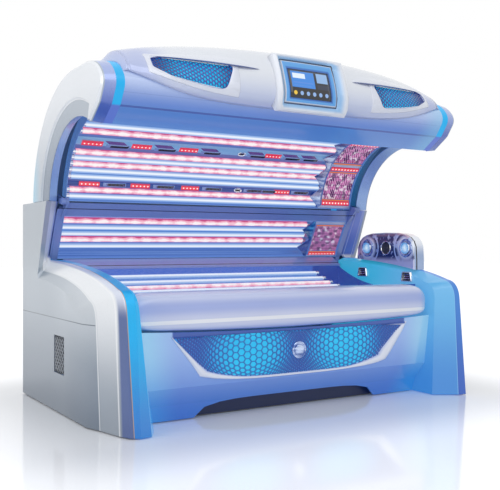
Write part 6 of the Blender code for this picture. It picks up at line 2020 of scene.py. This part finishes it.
class BED_OT_tubes(Operator):
    """Adds the tubes and fluted reflectors of the canopy and rear wall"""
    bl_idname = "bed.tubes"
    bl_label = "Tubes"

    def execute(self, context):
        canopy_tubes()
        back_tubes()
        canopy_flutes()
        back_flutes()
        lamp_end_covers()
        return {"FINISHED"}


class BED_OT_light_bars(Operator):
    """Adds the two bars of red light modules between the tubes"""
    bl_idname = "bed.light_bars"
    bl_label = "Light bars"

    def execute(self, context):
        led_rows()
        return {"FINISHED"}


class BED_OT_units(Operator):
    """Adds the face and shoulder units at the head end"""
    bl_idname = "bed.units"
    bl_label = "Face and shoulder units"

    def execute(self, context):
        face_unit()
        shoulder_unit()
        return {"FINISHED"}


class BED_OT_canopy(Operator):
    """Adds the canopy's caps with their ears, the linings below them, the lit strips, rear shell and hood"""
    bl_idname = "bed.canopy"
    bl_label = "Canopy"

    def execute(self, context):
        for side in (-1, 1):
            canopy_cap(side)
            canopy_ear(side)
            column_lining(side)
            cap_light(side)
        canopy_skin()
        return {"FINISHED"}


class BED_OT_brow(Operator):
    """Adds the top cover, its two windows with lattice, lip and rim, and the display"""
    bl_idname = "bed.brow"
    bl_label = "Brow"

    def execute(self, context):
        brow_cover()
        for side in (-1, 1):
            brow_end(side)
        for side in (-1, 1):
            brow_lattice(side)
            brow_lip(side)
            brow_rim(side)
        display_surround()
        display_unit()
        return {"FINISHED"}


class BED_OT_head(Operator):
    """Adds the outlets, speaker and air vents of the head end"""
    bl_idname = "bed.head"
    bl_label = "Head end"

    def execute(self, context):
        pod_details()
        for name, y in zip(("outlet_front", "outlet_rear"), OUTLET_Y):
            outlet(name, y)
        for name, (y, z) in zip(("head_vent_front", "head_vent_rear"), HEAD_VENTS):
            head_vent(name, y, z)
        return {"FINISHED"}


class BED_OT_frame_finish(Operator):
    """Gives the frame's own pieces their finishes"""
    bl_idname = "bed.frame_finish"
    bl_label = "Frame finishes"

    def execute(self, context):
        dress_frame()
        return {"FINISHED"}


class BED_OT_stage(Operator):
    """Adds the floor, surround, lights and camera"""
    bl_idname = "bed.stage"
    bl_label = "Stage"

    def execute(self, context):
        studio()
        return {"FINISHED"}


OPERATORS = (BED_OT_end_panels, BED_OT_front, BED_OT_bench, BED_OT_tubes, BED_OT_light_bars, BED_OT_units,
             BED_OT_canopy, BED_OT_brow, BED_OT_head, BED_OT_frame_finish, BED_OT_stage)


class BED_PT_panel(Panel):
    """Sidebar panel with the bed's operators, sizes and colours"""
    bl_idname = "BED_PT_panel"
    bl_label = "Tanning bed"
    bl_space_type = "VIEW_3D"
    bl_region_type = "UI"
    bl_category = "Tanning bed"

    def draw(self, context):
        for operator in OPERATORS:
            self.layout.operator(operator.bl_idname)
        for held in (context.scene.bed_sizes, context.scene.bed_colours, context.scene.bed_stage):
            box = self.layout.box()
            for key in held.__annotations__:
                box.prop(held, key)


CLASSES = (BedSizes, BedColours, BedStage, *OPERATORS, BED_PT_panel)


def register():
    for item in CLASSES:
        bpy.utils.register_class(item)
    bpy.types.Scene.bed_sizes = PointerProperty(type=BedSizes)
    bpy.types.Scene.bed_colours = PointerProperty(type=BedColours)
    bpy.types.Scene.bed_stage = PointerProperty(type=BedStage)


def unregister():
    del bpy.types.Scene.bed_stage
    del bpy.types.Scene.bed_colours
    del bpy.types.Scene.bed_sizes
    for item in reversed(CLASSES):
        bpy.utils.unregister_class(item)


def main():
    """Registers the classes, builds every piece and writes the frame's box beside the finished box."""
    register()
    for operator in OPERATORS:
        family, label = operator.bl_idname.split(".")
        getattr(getattr(bpy.ops, family), label)()


if __name__ == "__main__":
    main()
